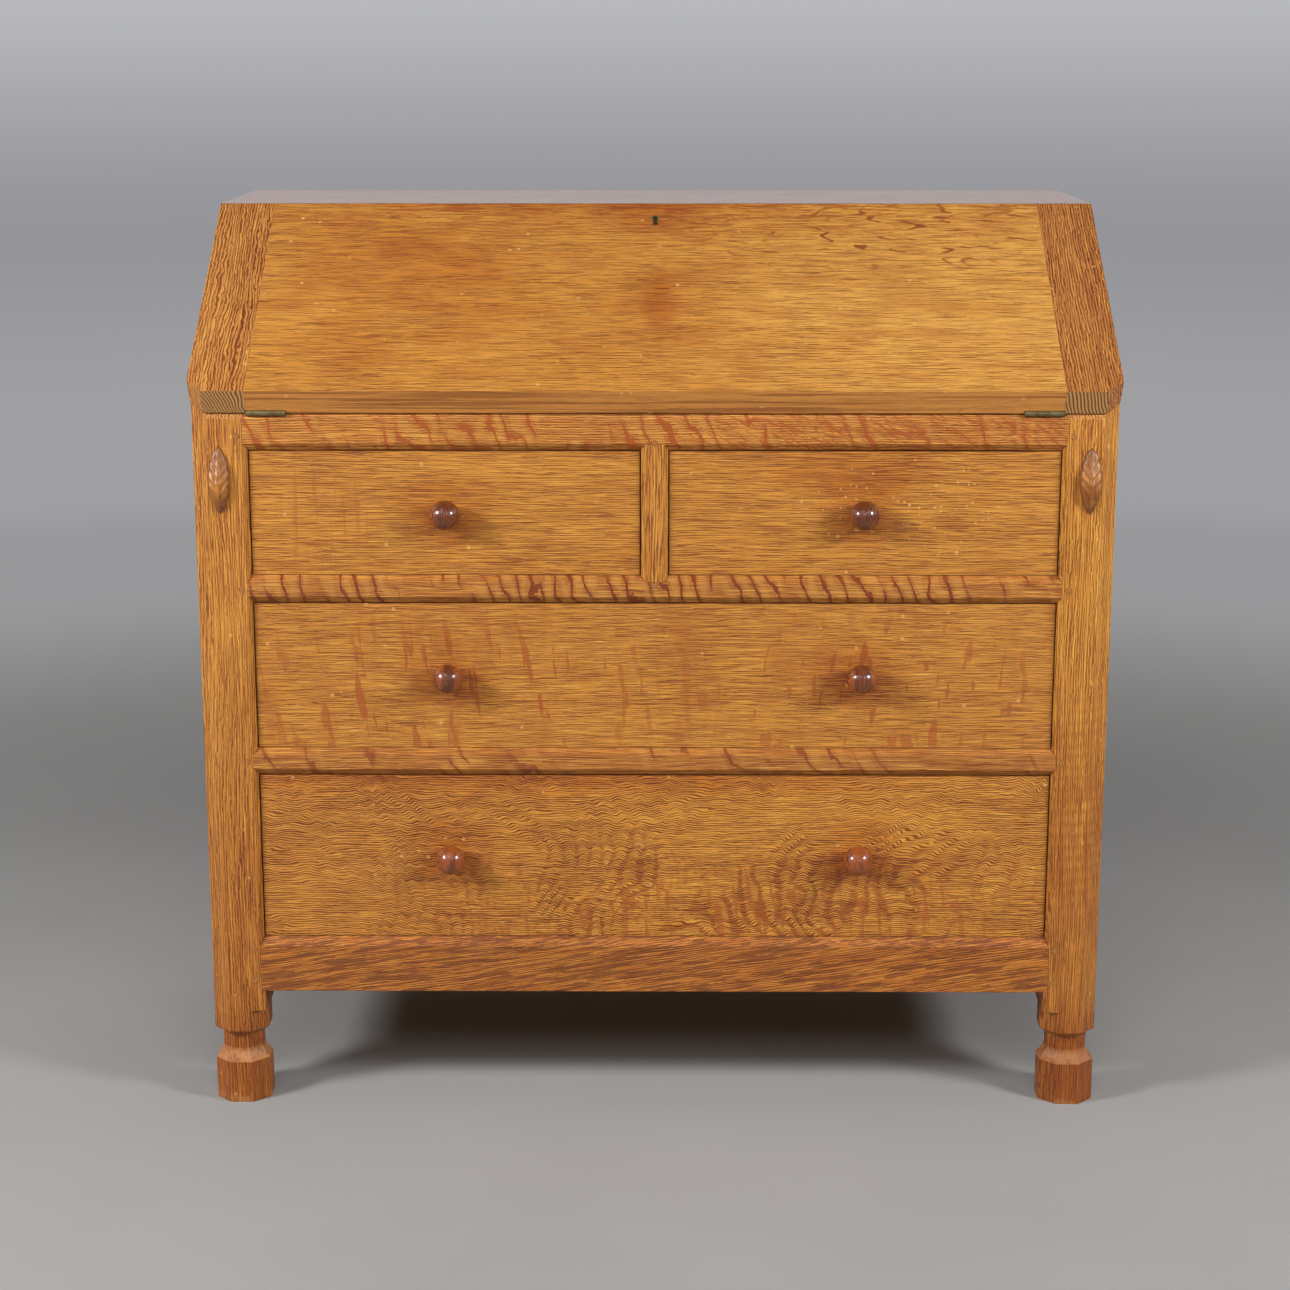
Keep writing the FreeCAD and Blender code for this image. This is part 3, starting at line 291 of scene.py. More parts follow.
def oak_end_grain(finish, board, mottle, look):
    """Growth rings on a board's end: pale and dark by sin(2 pi * end_pitch * r), with drift."""
    drift = (mottle - 0.5) * look.end_drift
    rings = finish.maths("SINE", (board.r + drift) * (look.end_pitch * FULL_TURN))
    return finish.mix(finish.step(rings, *look.end_cut), END_PALE, END_GRAIN)


def oak(name, grain, shift, marks=(), **changes):
    """Waxed quarter-sawn oak: bands of pale and warm wood, dark dashes, and the board's own marks.

    The shift moves the board along the wood that it is cut from, so no two boards are alike.
    """
    look = SimpleNamespace(**{**vars(OAK), **changes})
    finish = Finish(name)
    board = oak_grain(finish, grain, shift, look)
    u, v, w, r = board.u, board.v, board.w, board.r
    bands = finish.streaks(u, r, w, look.band_pitches, 3.0, 0.6)
    mottle = finish.streaks(u, v, w, look.mottle_pitches, 3.0, 0.55)
    fibres = finish.streaks(u, r, w, look.fibre_pitches, 2.0, 0.6)
    lines = oak_lines(finish, board, look)

    warm = finish.step(bands, *look.band_cut) * look.band_amount
    colour = finish.mix(warm, look.pale, look.body)
    blotches = finish.step(mottle, *look.mottle_cut) * look.mottle
    colour = finish.mix(blotches, colour, look.deep)
    dark_fibres = finish.step(fibres, *look.dark_fibre_cut) * look.fibre_amount
    colour = finish.mix(dark_fibres, colour, look.deep)
    light_fibres = (1 - finish.step(fibres, *look.light_fibre_cut)) * look.fibre_amount
    colour = finish.mix(light_fibres, colour, look.light)
    depth = (mottle + bands) * LINE_DEPTH + LEAST_DEPTH
    colour = finish.mix(lines * depth * look.line_amount, colour, look.line)
    for mark in marks:
        colour = mark(finish, board, colour)
    growth = oak_end_grain(finish, board, mottle, look)
    colour = finish.mix(board.end * look.end_amount, colour, growth)
    rounded, edge = finish.rounding(look.edge_radius)
    scuffs = finish.step(finish.cloud(look.scuff_pitch, roughness=0.65), *look.scuff_cut)
    colour = finish.mix(edge * scuffs * look.edge_amount, colour, WORN_EDGE)

    gloss = (finish.streaks(u, v, w, look.gloss_pitches) - 0.5) * look.gloss_swing
    return finish.surface(
        {
            "Base Color": colour,
            "Roughness": look.roughness + gloss + lines * look.line_roughness,
            "Coat Weight": look.coat,
            "Coat Roughness": look.coat_roughness,
            "Normal": finish.bump(1 - lines + fibres * look.fibre_relief, look.relief, rounded),
        }
    )


# Marks that a board may carry
#
# A place on the front is written as x, z, reach along X and reach along Z, in metres.

FINE_FRAY = (160.0, 420.0)
BAR_FRAY = (260.0, 420.0)
FLECK_FRAY = (210.0, 210.0)

RED_RAY = tone(128, 58, 16)
SOFT_RAY = tone(166, 89, 30)
PALE_RAY = tone(222, 163, 76)
RED_STAIN = tone(164, 78, 23)
EDGE_DARKENING = tone(92, 47, 17)
PALE_KNOCK = tone(232, 184, 101)

# Tints multiply the wood's colour: above 1 they make it paler
RED_TINT = tone(234, 208, 180)
FIGURE_TINT = tone(212, 178, 150)
BROWN_TINT = tone(236, 218, 206)
FOOT_TINT = tone(234, 212, 192)
SHADED_FOOT_TINT = tone(236, 228, 222)
# Tint of the painted shadow below and beside each knob, which also stands for hand grime
KNOB_SHADOW_AND_GRIME_TINT = tone(226, 194, 156)
DULL_TINT = tone(245, 240, 248)
PALE_TINT = (1.19, 1.38, 1.85, 1.0)
PALE_POST_TINT = (1.12, 1.19, 1.12, 1.0)


def spot(finish, place, ragged=0.3):
    """1 at a place and 0 past its reach, with a rough rim. A reach of 0 has no end."""
    x, z, reach_x, reach_z = place
    far = 0
    for axis, middle, reach in ((X, x, reach_x), (Z, z, reach_z)):
        if reach:
            part = (finish.along(axis) - middle) / reach
            far = part * part + far
    rim = (finish.cloud(38.0) - 0.5) * (ragged * 2)
    return 1 - finish.step(far + rim, 0.0, 1.0)


def near(finish, mask, place):
    """The mask, kept only about a place where one is given."""
    return mask * spot(finish, place) if place else mask


def stain_and_shade(place, tint, amount):
    """A soft oval tint: a stain, painted shade about the knobs, or with a tint above 1 a place that
    has grown paler.
    """

    def mark(finish, board, under):
        return finish.mix(spot(finish, place, ragged=0.5) * amount, under, tint, "MULTIPLY")

    return mark


def flat_sawn_edge(axis, colour, amount):
    """Another colour with long flowing lines, on the edge of a board that faces back along an axis.

    The lines lie where noise(3.5 * u, 230 * w + 60 * v) is high.
    """
    facing_cut, line_cut, line_amount = (0.55, 0.75), (0.50, 0.60), 0.55

    def mark(finish, board, under):
        facing = finish.step(0 - finish.lean(axis), *facing_cut)
        point = finish.point(board.u * 3.5, board.w * 230 + board.v * 60, 0.0)
        lines = finish.step(finish.noise(point, 1.0, 2.0, 0.6), *line_cut)
        tinted = finish.mix(facing * amount, under, colour)
        return finish.mix(facing * lines * line_amount, tinted, RED_RAY)

    return mark


def figure(tint, amount, place):
    """Shade on one side of the board's waves: where 0.35 * wave + noise is high."""

    def mark(finish, board, under):
        fray = finish.streaks(board.u, board.v, board.w, FINE_FRAY)
        mask = finish.step(board.waves * 0.35 + fray, 0.50, 0.80)
        return finish.mix(near(finish, mask, place) * amount, under, tint, "MULTIPLY")

    return mark


def ray_bars(pitch, width, slant, colour, amount, seed, gaps):
    """Ray flecks that cross a rail, dark where sin(2 pi * pitch * (u + slant * v)) is low and pale
    beside. They bend with a slow noise, another leaves some out, and a fine one frays them.
    """
    curl, fray_amount, gap_width = 1.2, 0.6, 0.12
    pale_cut, pale_amount = (-0.1, 0.7), amount * 0.22

    def mark(finish, board, under):
        u, v, w = board.u, board.v, board.w
        bend = finish.noise(finish.point(u * 34 + seed, v * 16, seed), 1.0, 2.0)
        phase = (u + v * slant) * (FULL_TURN * pitch) + (bend - 0.5) * (curl * 2 * FULL_TURN)
        fray = (finish.streaks(u, v, w, BAR_FRAY) - 0.5) * fray_amount
        wave = finish.maths("SINE", phase) + fray
        kept = finish.noise(finish.point(u * 30 + seed, v * 12, seed + 5))
        kept = finish.step(kept, gaps, gaps + gap_width)
        pale = finish.mix(finish.step(wave, *pale_cut) * kept * pale_amount, under, PALE_RAY)
        dark = 1 - finish.step(wave, width - 1.0, width * 2 - 1.0)
        return finish.mix(dark * kept * amount, pale, colour)

    return mark


def ray_flecks(pitches, slant, cut, colour, amount, seed=0.0, place=None):
    """Scattered flecks: where a noise of u + slant * v and v, at their pitches, passes the cut."""
    fray_amount = 0.10

    def mark(finish, board, under):
        along, across = pitches
        fray = (finish.streaks(board.u, board.v, board.w, FLECK_FRAY) - 0.5) * fray_amount
        slanted = (board.u + board.v * slant) * along + seed
        flecks = finish.noise(finish.point(slanted, board.v * across, board.w * across), 1.0, 1.5)
        mask = finish.step(flecks + fray, *cut)
        return finish.mix(near(finish, mask, place) * amount, under, colour)

    return mark


def ray_threads(pitches, width, colour, amount, seed, place):
    """Thin wandering flecks: the lines where a noise passes one half, kept in places."""
    kept_cut = (0.48, 0.56)

    def mark(finish, board, under):
        u, v, w = board.u, board.v, board.w
        along, across = pitches
        field = finish.noise(finish.point(u * along + seed, v * across, w * 9), 1.0, 1.5)
        kept = finish.noise(finish.point(u * 36 + seed, v * 50, seed))
        threads = 1 - finish.step(abs(field - 0.5), width * 0.4, width)
        mask = threads * finish.step(kept, *kept_cut)
        return finish.mix(near(finish, mask, place) * amount, under, colour)

    return mark


def ripple(pitch, swirl, colour, amount, seed, place):
    """Curved bands across the grain: sin(2 pi * pitch * u + 4 pi * swirl * (noise - 1/2))."""

    def mark(finish, board, under):
        u, v, w = board.u, board.v, board.w
        flow = finish.noise(finish.point(u * 6 + seed, v * 8, w * 8))
        phase = u * (pitch * FULL_TURN) + (flow - 0.5) * (swirl * 2 * FULL_TURN)
        bands = finish.maths("SINE", phase) * 0.5 + 0.5
        fray = finish.streaks(u, v, w, FINE_FRAY)
        mask = finish.step(bands * 0.6 + fray * 0.8, 0.52, 1.0)
        return finish.mix(near(finish, mask, place) * amount, under, colour)

    return mark


def darker_below(high, low, tint, amount):
    """Wood that darkens downwards between two heights, with an uneven border."""
    border = 0.03

    def mark(finish, board, under):
        uneven = (finish.cloud(46.0) - 0.5) * border
        mask = 1 - finish.step(finish.along(Z) + uneven, low, high)
        return finish.mix(mask * amount, under, tint, "MULTIPLY")

    return mark


def foot_wear_and_highlight(shoulder, colour, amount):
    """Pale wood on the foot's slopes that face up, below its shoulder, broken by scuffs: a painted
    highlight where light falls on them, with wear. Pale knocks in places at its base are wear.
    """
    upward_cut, scuff_cut = (0.10, 0.45), (0.25, 0.55)
    base_top, knock_cut, knock_amount = (0.002, 0.013), (0.50, 0.62), 0.7

    def mark(finish, board, under):
        height = finish.along(Z)
        scuffs = finish.step(finish.cloud(120.0), *scuff_cut)
        below = 1 - finish.step(height, shoulder, shoulder + 0.004)
        # Slopes that face up are painted paler, as a highlight.
        lit_slopes = finish.step(finish.lean(Z), *upward_cut) * below * scuffs
        knocks = finish.step(finish.cloud(42.0), *knock_cut)
        base = (1 - finish.step(height, *base_top)) * knocks
        mask = finish.maths("MAXIMUM", lit_slopes, base * knock_amount)
        return finish.mix(mask * amount, under, colour)

    return mark


def drips(place, colour, amount):
    """Faint upright streaks: where noise(150 * u, 9 * v) is high."""

    def mark(finish, board, under):
        streaks = finish.noise(finish.point(board.u * 150, board.v * 9, 0.0), 1.0, 2.0)
        mask = finish.step(streaks, 0.50, 0.66)
        return finish.mix(near(finish, mask, place) * amount, under, colour)

    return mark


def specks(amount, seed=0.0, pitch=110.0, rarity=0.955, place=None):
    """Small pale knocks: round cells a pitch apart, of which only the rarest are kept."""
    size = 0.30

    def mark(finish, board, under):
        point = finish.point(board.u * pitch + seed, board.v * pitch, board.w * pitch)
        dots = 1 - finish.step(finish.cells(point), size * 0.3, size)
        chance = finish.node("SeparateColor", None, {0: finish.cells(point, "Color")})
        mask = dots * finish.step(chance, rarity, rarity + 0.02)
        return finish.mix(near(finish, mask, place) * amount, under, PALE_KNOCK)

    return mark


def darker_front_edges(low, high, reach, amount):
    """Darker wood within reach of a front's edges, from the corners of the box that it fills."""

    def mark(finish, board, under):
        uneven = (finish.cloud(70.0) - 0.5) * reach
        gaps = []
        for axis, number in ((X, 0), (Z, 2)):
            middle = (low[number] + high[number]) / 2
            half = (high[number] - low[number]) / 2
            gaps.append(half - abs(finish.along(axis) - middle))
        mask = 1 - finish.step(finish.maths("MINIMUM", *gaps) + uneven, 0.0, reach)
        return finish.mix(mask * amount, under, EDGE_DARKENING)

    return mark


# Boards: which way the grain runs, as the axes along it, across the face and through the board

RISE = math.radians(9)
FACE_ALONG_X = (X, Z, Y)
FACE_RISING = ((math.cos(RISE), 0.0, math.sin(RISE)), (-math.sin(RISE), 0.0, math.cos(RISE)), Y)
FACE_UPRIGHT = (Z, X, Y)
SIDE_UPRIGHT = (Z, Y, X)
SIDE_ALONG_Y = (Y, Z, X)
FLAT_ALONG_X = (X, Y, Z)
FLAT_ALONG_Y = (Y, X, Z)
FALL_ALONG_X = (X, UP_SLOPE, OUT_OF_SLOPE)
CLEAT_UP = (UP_SLOPE, X, OUT_OF_SLOPE)
SLOPE_RAIL = (UP_SLOPE, OUT_OF_SLOPE, X)

# Boards: how each is marked and coloured


def post_oak():
    curly = (0.43, 0.32, 0.06, 0.16)
    shaded_foot = (0.42, 0.03, 0.12, 0.10)
    pale_length = (0.44, 0.58, 0.12, 0.30)
    return oak(
        "post_oak",
        FACE_UPRIGHT,
        shift=0.7,
        marks=[
            ripple(85, 1.2, SOFT_RAY, 0.40, seed=2.0, place=curly),
            darker_below(0.52, 0.10, BROWN_TINT, 0.75),
            darker_below(0.112, 0.055, FOOT_TINT, 1.0),
            # Pale upward-facing foot slopes: painted highlight, with scuffs and knocks of wear.
            foot_wear_and_highlight(0.060, tone(208, 152, 98), 0.5),
            stain_and_shade(shaded_foot, SHADED_FOOT_TINT, 1.0),
            stain_and_shade(pale_length, PALE_POST_TINT, 1.0),
            specks(0.5, seed=3.0),
        ],
        pale=tone(206, 140, 58),
        body=tone(184, 116, 44),
        pitch=380.0,
        rings=0.14,
        dash=22.0,
        sway=0.011,
        sway_pitches=(2.6, 16.0),
        shiver=0.7,
    )


def top_rail_oak():
    flecked = (0.28, 0.70, 0.42, 0)
    return oak(
        "top_rail_oak",
        FACE_ALONG_X,
        shift=1.3,
        marks=[
            ray_flecks((170, 120), 1.6, (0.53, 0.60), RED_STAIN, 0.75, seed=4.0, place=flecked),
            ray_bars(46, 0.14, 0.5, RED_STAIN, 0.9, seed=4.0, gaps=0.44),
        ],
        pale=tone(212, 142, 59),
        body=tone(190, 116, 45),
        rings=0.18,
    )


def drawer_rail_oak(name, shift, slant, pitch, gaps, amount):
    return oak(
        name,
        FACE_ALONG_X,
        shift,
        marks=[ray_bars(pitch, 0.11, slant, RED_RAY, amount, seed=shift, gaps=gaps)],
        pale=tone(192, 123, 51),
        body=tone(168, 100, 38),
        sway=0.009,
    )


def bottom_rail_oak():
    return oak(
        "bottom_rail_oak",
        FACE_RISING,
        shift=2.9,
        marks=[ray_flecks((30, 330), 0.0, (0.51, 0.57), tone(112, 56, 18), 0.7, seed=9.0)],
        dash=26.0,
        rings=0.16,
        sway=0.012,
        light=tone(222, 155, 66),
        pale=tone(206, 124, 40),
        body=tone(186, 106, 32),
        deep=tone(148, 78, 22),
        line=tone(104, 50, 15),
    )


def muntin_oak():
    pale, body = tone(206, 142, 59), tone(188, 120, 45)
    return oak("muntin_oak", FACE_UPRIGHT, shift=0.1, pale=pale, body=body, pitch=360.0)


def frame_rail_oak(name, grain, shift):
    return oak(name, grain, shift, pale=tone(198, 132, 55), body=tone(180, 113, 44), pitch=380.0)


def side_panel_oak():
    rays = ray_flecks((46, 70), 0.6, (0.56, 0.66), SOFT_RAY, 0.5, seed=6.0)
    return oak("side_panel_oak", SIDE_UPRIGHT, shift=5.2, marks=[rays, specks(0.4)])


def back_panel_oak():
    rays = ray_flecks((40, 60), 0.4, (0.57, 0.67), SOFT_RAY, 0.4, seed=8.0)
    pale, body = tone(200, 136, 59), tone(180, 114, 47)
    return oak("back_panel_oak", FACE_UPRIGHT, shift=6.1, marks=[rays], pale=pale, body=body)


FALL_PALE_SIDE = (0.38, 0.80, 0.44, 0.16)
FALL_THREADS = (0.24, 0.885, 0.26, 0.045)
FALL_TOP_FLECKS = (0.0, 0.91, 0.6, 0.035)
# Each stain's place and amount: by the keyhole, along the top edge, in the middle and at the left
FALL_STAINS = (
    ((0.0, 0.90, 0.07, 0.018), 0.9),
    ((-0.1, 0.912, 0.30, 0.012), 0.8),
    ((0.004, 0.825, 0.022, 0.034), 0.9),
    ((0.01, 0.815, 0.09, 0.05), 0.4),
    ((-0.27, 0.86, 0.14, 0.05), 0.55),
    ((-0.19, 0.83, 0.10, 0.06), 0.45),
    ((-0.30, 0.79, 0.05, 0.05), 0.5),
)


def fall_oak():
    return oak(
        "fall_oak",
        FALL_ALONG_X,
        shift=0.35,
        marks=[
            stain_and_shade(FALL_PALE_SIDE, PALE_TINT, 0.8),
            ray_threads((17, 42), 0.030, RED_RAY, 0.9, seed=3.0, place=FALL_THREADS),
            ray_flecks((42, 300), 1.5, (0.53, 0.61), SOFT_RAY, 0.8, 2.0, FALL_TOP_FLECKS),
            ray_flecks((14, 40), 0.5, (0.46, 0.74), RED_STAIN, 0.28, seed=6.0),
            *[stain_and_shade(place, RED_TINT, amount) for place, amount in FALL_STAINS],
            flat_sawn_edge(UP_SLOPE, tone(222, 150, 72), 0.7),
            specks(0.7, seed=1.0),
        ],
        pale=tone(212, 146, 58),
        body=tone(196, 127, 45),
        deep=tone(172, 103, 34),
        line=tone(130, 66, 18),
        pitch=400.0,
        line_low=0.505,
        fibre_amount=0.45,
        band_amount=0.5,
        mottle=0.2,
    )


def cleat_oak(name, shift, pale, body, sway):
    return oak(
        name,
        CLEAT_UP,
        shift,
        marks=[specks(0.5, seed=7.0)],
        pale=pale,
        body=body,
        line=tone(118, 56, 18),
        sway=sway,
        sway_pitches=(5.0, 20.0),
        pitch=350.0,
        dash=30.0,
        rings=0.22,
        shiver=0.7,
        end_amount=0.9,
    )


def top_oak():
    return oak(
        "top_oak",
        FLAT_ALONG_X,
        shift=2.2,
        pale=tone(188, 118, 50),
        body=tone(168, 99, 41),
        roughness=0.22,
        relief=0.00004,
        coat=0.5,
    )


def bed_oak():
    return oak("bed_oak", FLAT_ALONG_X, shift=7.2, pale=tone(206, 144, 62), roughness=0.36)


def drawer_front_oak(name, shift, low, high, knobs, marks, changes):
    """A drawer's front, from the corners of its box and the x and z of its knobs."""
    # Warm dark halos round the knobs: hand grease, and painted shade round each knob.
    grease_and_shade_halos = [stain_and_shade((x, z + 0.012, 0.06, 0.036), RED_TINT, 0.6) for x, z in knobs]
    # Warm darkening below and beside each knob: a painted knob shadow, and hand grime.
    knob_shadows_and_grime = [stain_and_shade((x, z - 0.014, 0.052, 0.026), KNOB_SHADOW_AND_GRIME_TINT, 0.8) for x, z in knobs]
    edges = darker_front_edges(low, high, 0.0018, 0.3)
    colours = dict(pale=tone(209, 142, 54), body=tone(189, 121, 42), deep=tone(160, 95, 31))
    return oak(
        name,
        FACE_ALONG_X,
        shift,
        marks=[*marks, *grease_and_shade_halos, *knob_shadows_and_grime, edges, specks(0.6, seed=shift)],
        **{**colours, **changes},
    )


def drawer_box_oak(name, grain, shift):
    return oak(
        name,
        grain,
        shift,
        pale=tone(214, 174, 118),
        body=tone(198, 154, 98),
        deep=tone(168, 118, 66),
        line=tone(142, 92, 48),
        roughness=0.6,
    )


def inner_oak(name, grain, shift):
    return oak(
        name,
        grain,
        shift,
        pale=tone(206, 160, 102),
        body=tone(186, 136, 80),
        deep=tone(150, 98, 52),
        line=tone(120, 72, 34),
        roughness=0.55,
    )


def peg_oak():
    pale, body = tone(184, 116, 54), tone(164, 98, 42)
    return oak("peg_oak", FLAT_ALONG_Y, shift=0.0, pale=pale, body=body, end_amount=0.1)


# Knobs, metal and the carved leaves


def knob_wood():
    """Dark striped wood: fine light lines where sin(2 pi * 760 * (x + 0.3 * y + drift)) is high."""
    pitch, slant, drift_reach = 760, 0.3, 0.016
    stripe_cut, warm_cut = (0.45, 0.80), (0.04, 0.30)
    finish = Finish("knob_wood")
    x, y, z = finish.along(X), finish.along(Y), finish.along(Z)
    drift = finish.noise(finish.point(x * 40, y * 40, z * 24), 1.0, 2.0)
    breaks = finish.noise(finish.point(x * 500, y * 300, z * 60), 1.0, 2.0)
    slow = finish.noise(finish.point(x * 90, y * 40, z * 22), 1.0, 2.0)
    phase = (x + y * slant + (drift - 0.5) * drift_reach) * (pitch * FULL_TURN)
    stripes = finish.step(finish.maths("SINE", phase) * 0.4 + breaks, *stripe_cut)
    warm = finish.step(slow - z * 0.8, *warm_cut)
    ground = finish.mix(warm, tone(78, 31, 12), tone(144, 70, 25))
    colour = finish.mix(stripes * (slow * 0.9), ground, tone(176, 98, 46))
    return finish.surface(
        {
            "Base Color": colour,
            "Roughness": 0.20 + stripes * 0.10,
            "Coat Weight": 0.6,
            "Coat Roughness": 0.06,
            "Normal": finish.bump(stripes, 0.00006),
        }
    )


def old_brass():
    """Brass that is dull in most places, rubbed in some and grimy in others."""
    rubbed_cut, grime_cut = (0.35, 0.7), (0.48, 0.72)
    finish = Finish("old_brass")
    grime = finish.cloud(260.0, 4.0, 0.65)
    rubbed = finish.step(finish.cloud(60.0), *rubbed_cut)
    colour = finish.mix(rubbed, tone(112, 100, 66), tone(156, 140, 98))
    colour = finish.mix(finish.step(grime, *grime_cut) * 0.7, colour, tone(60, 54, 32))
    return finish.surface(
        {
            "Base Color": colour,
            "Metallic": 0.7,
            "Roughness": 0.40 + grime * 0.3,
            "Normal": finish.bump(grime, 0.00006),
        }
    )


def lock_steel():
    """Grey steel with brown rust in places."""
    rust_cut = (0.50, 0.74)
    finish = Finish("lock_steel")
    rust = finish.cloud(180.0, 4.0, 0.65)
    colour = finish.mix(finish.step(rust, *rust_cut) * 0.8, tone(132, 128, 122), tone(92, 62, 42))
    return finish.surface({"Base Color": colour, "Metallic": 0.9, "Roughness": 0.38 + rust * 0.3})


def leaf_oak():
    """Carved and much handled oak: darker towards the post's face, paler on its high places."""
    low_places = (-0.2385, -0.2310)
    finish = Finish("leaf_oak")
    x, y, z = finish.along(X), finish.along(Y), finish.along(Z)
    lines = finish.noise(finish.point(x * 700, y * 300, z * 46), 1.0, 2.0)
    blotch = finish.cloud(70.0)
    colour = finish.mix(finish.step(blotch, 0.3, 0.7), tone(198, 130, 56), tone(160, 96, 38))
    colour = finish.mix(finish.step(lines, 0.5, 0.64) * 0.6, colour, tone(112, 58, 26))
    colour = finish.mix(finish.step(y, *low_places) * 0.6, colour, tone(96, 48, 22))
    return finish.surface(
        {
            "Base Color": colour,
            "Roughness": 0.32 + blotch * 0.2,
            "Coat Weight": 0.1,
            "Coat Roughness": 0.3,
            "Normal": finish.bump(lines, 0.0001),
        }
    )


# Meshes


def grid_faces(rows, columns):
    """The corners of each face of a grid of points whose columns close on themselves."""
    i, j = np.meshgrid(np.arange(rows - 1), np.arange(columns), indexing="ij")
    after = (j + 1) % columns
    here, above = i * columns, (i + 1) * columns
    return np.stack([here + j, here + after, above + after, above + j], -1).reshape(-1, 4)


def mesh_piece(name, points, faces, material):
    """A smooth piece from an array of points and one of faces."""
    mesh = bpy.data.meshes.new(name)
    mesh.from_pydata(points.reshape(-1, 3).tolist(), [], faces.tolist())
    mesh.polygons.foreach_set("use_smooth", np.full(len(mesh.polygons), True))
    mesh.materials.append(material)
    mesh.update()
    piece = bpy.data.objects.new(name, mesh)
    bpy.context.scene.collection.objects.link(piece)
    return piece


def carved_leaf(name, middle, low, high, back, proud, half_width, material):
    """A closed leaf with its flat back on the post. s runs from its lower tip to its upper one,
    a goes round its section, and t = cos(a) runs across it from edge to edge.

    The veins are 1/2 + 1/2 * cos(2 pi * (7 * s - 1.3 * |t|)) and the rib is exp(-(t / 0.13) ** 2).
    Across it lies at t * half_width * sin(pi * s) ** 0.62 * (0.94 + 0.06 * veins).
    It stands out by proud * sin(pi * s) ** 0.5 * swell * max(sin(a), 0) ** 0.75 * relief, with
    swell = 0.62 + 0.38 * sin(pi * min(1.15 * s, 1)) ** 2 and
    relief = 1 - 0.13 * (1 - rib) * (1 - veins) * (1 - |t| ** 3) - 0.10 * (1 - rib).
    """
    rows, columns = 97, 64
    vein_count, vein_slant, vein_depth = 7, 1.3, 0.13
    rib_width, rib_height = 0.13, 0.10
    s = np.linspace(0, 1, rows)[:, None]
    a = np.linspace(0, 2 * np.pi, columns, endpoint=False)[None, :]
    t = np.cos(a)
    bow = np.sin(np.pi * s)
    rise = np.maximum(np.sin(a), 0)
    swell = 0.62 + 0.38 * np.sin(np.pi * np.clip(s * 1.15, 0, 1)) ** 2
    beside_rib = 1 - np.exp(-((t / rib_width) ** 2))
    veins = 0.5 + 0.5 * np.cos(2 * np.pi * (s * vein_count - np.abs(t) * vein_slant))
    cuts = vein_depth * beside_rib * (1 - veins) * (1 - np.abs(t) ** 3)
    relief = 1 - cuts - rib_height * beside_rib
    x = middle + half_width * bow ** 0.62 * t * (0.94 + 0.06 * veins)
    y = back - proud * bow ** 0.5 * swell * rise ** 0.75 * relief
    z = low + (high - low) * s + 0 * a
    points = np.stack(np.broadcast_arrays(x, y, z), -1)
    leaf = mesh_piece(name, points, grid_faces(rows, columns), material)
    close(leaf)
    return leaf


def close(piece):
    """Merges doubled points and turns all faces outwards."""
    shell = bmesh.new()
    shell.from_mesh(piece.data)
    bmesh.ops.remove_doubles(shell, verts=shell.verts, dist=1e-6)
    bmesh.ops.dissolve_degenerate(shell, edges=shell.edges, dist=1e-7)
    bmesh.ops.recalc_face_normals(shell, faces=shell.faces)
    shell.to_mesh(piece.data)
    shell.free()


# Dress the solids


def dress(names, material):
    for name in names:
        for slot in nodes[name].material_slots:
            slot.material = material


def dress_carcase():
    dress(["front_post_left", "front_post_right", "back_post_left", "back_post_right"], post_oak())
    dress(["top_front_rail"], top_rail_oak())
    upper = drawer_rail_oak("upper_rail_oak", 0.0, slant=0.4, pitch=56.0, gaps=0.34, amount=1.0)
    lower = drawer_rail_oak("lower_rail_oak", 3.3, slant=0.9, pitch=40.0, gaps=0.47, amount=0.8)
    dress(["upper_drawer_rail"], upper)
    dress(["lower_drawer_rail"], lower)
    dress(["bottom_front_rail"], bottom_rail_oak())
    dress(["drawer_muntin"], muntin_oak())
    side_rails = ["bottom_side_rails", "middle_side_rails", "top_side_rails"]
    dress(side_rails, frame_rail_oak("side_rail_oak", SIDE_ALONG_Y, 1.9))
    dress(["sloping_side_rails"], frame_rail_oak("sloping_rail_oak", SLOPE_RAIL, 0.9))
    back_rails = ["back_bottom_rail", "back_middle_rail", "back_top_rail"]
    dress(back_rails, frame_rail_oak("back_rail_oak", FACE_ALONG_X, 3.9))
    dress(["back_muntin"], frame_rail_oak("back_muntin_oak", FACE_UPRIGHT, 4.4))
    dress(["side_panels"], side_panel_oak())
    dress(["back_panels"], back_panel_oak())
    dress(["top_board"], top_oak())
    dress(["desk_bed"], bed_oak())
    dress(["frame_pegs"], peg_oak())
    dress(["drawer_runners", "drawer_guides"], inner_oak("runner_oak", FLAT_ALONG_Y, 1.1))
    dress(["drawer_stops", "pigeonhole_shelf"], inner_oak("shelf_oak", FLAT_ALONG_X, 2.1))
    dress(["pigeonhole_dividers"], inner_oak("divider_oak", SIDE_UPRIGHT, 3.1))


def dress_fall():
    dress(["fall_panel"], fall_oak())
    left = cleat_oak("left_cleat_oak", 0.2, tone(208, 142, 70), tone(188, 120, 56), sway=0.012)
    right = cleat_oak("right_cleat_oak", 1.4, tone(192, 124, 62), tone(172, 106, 50), sway=0.006)
    dress(["fall_cleat_left"], left)
    dress(["fall_cleat_right"], right)


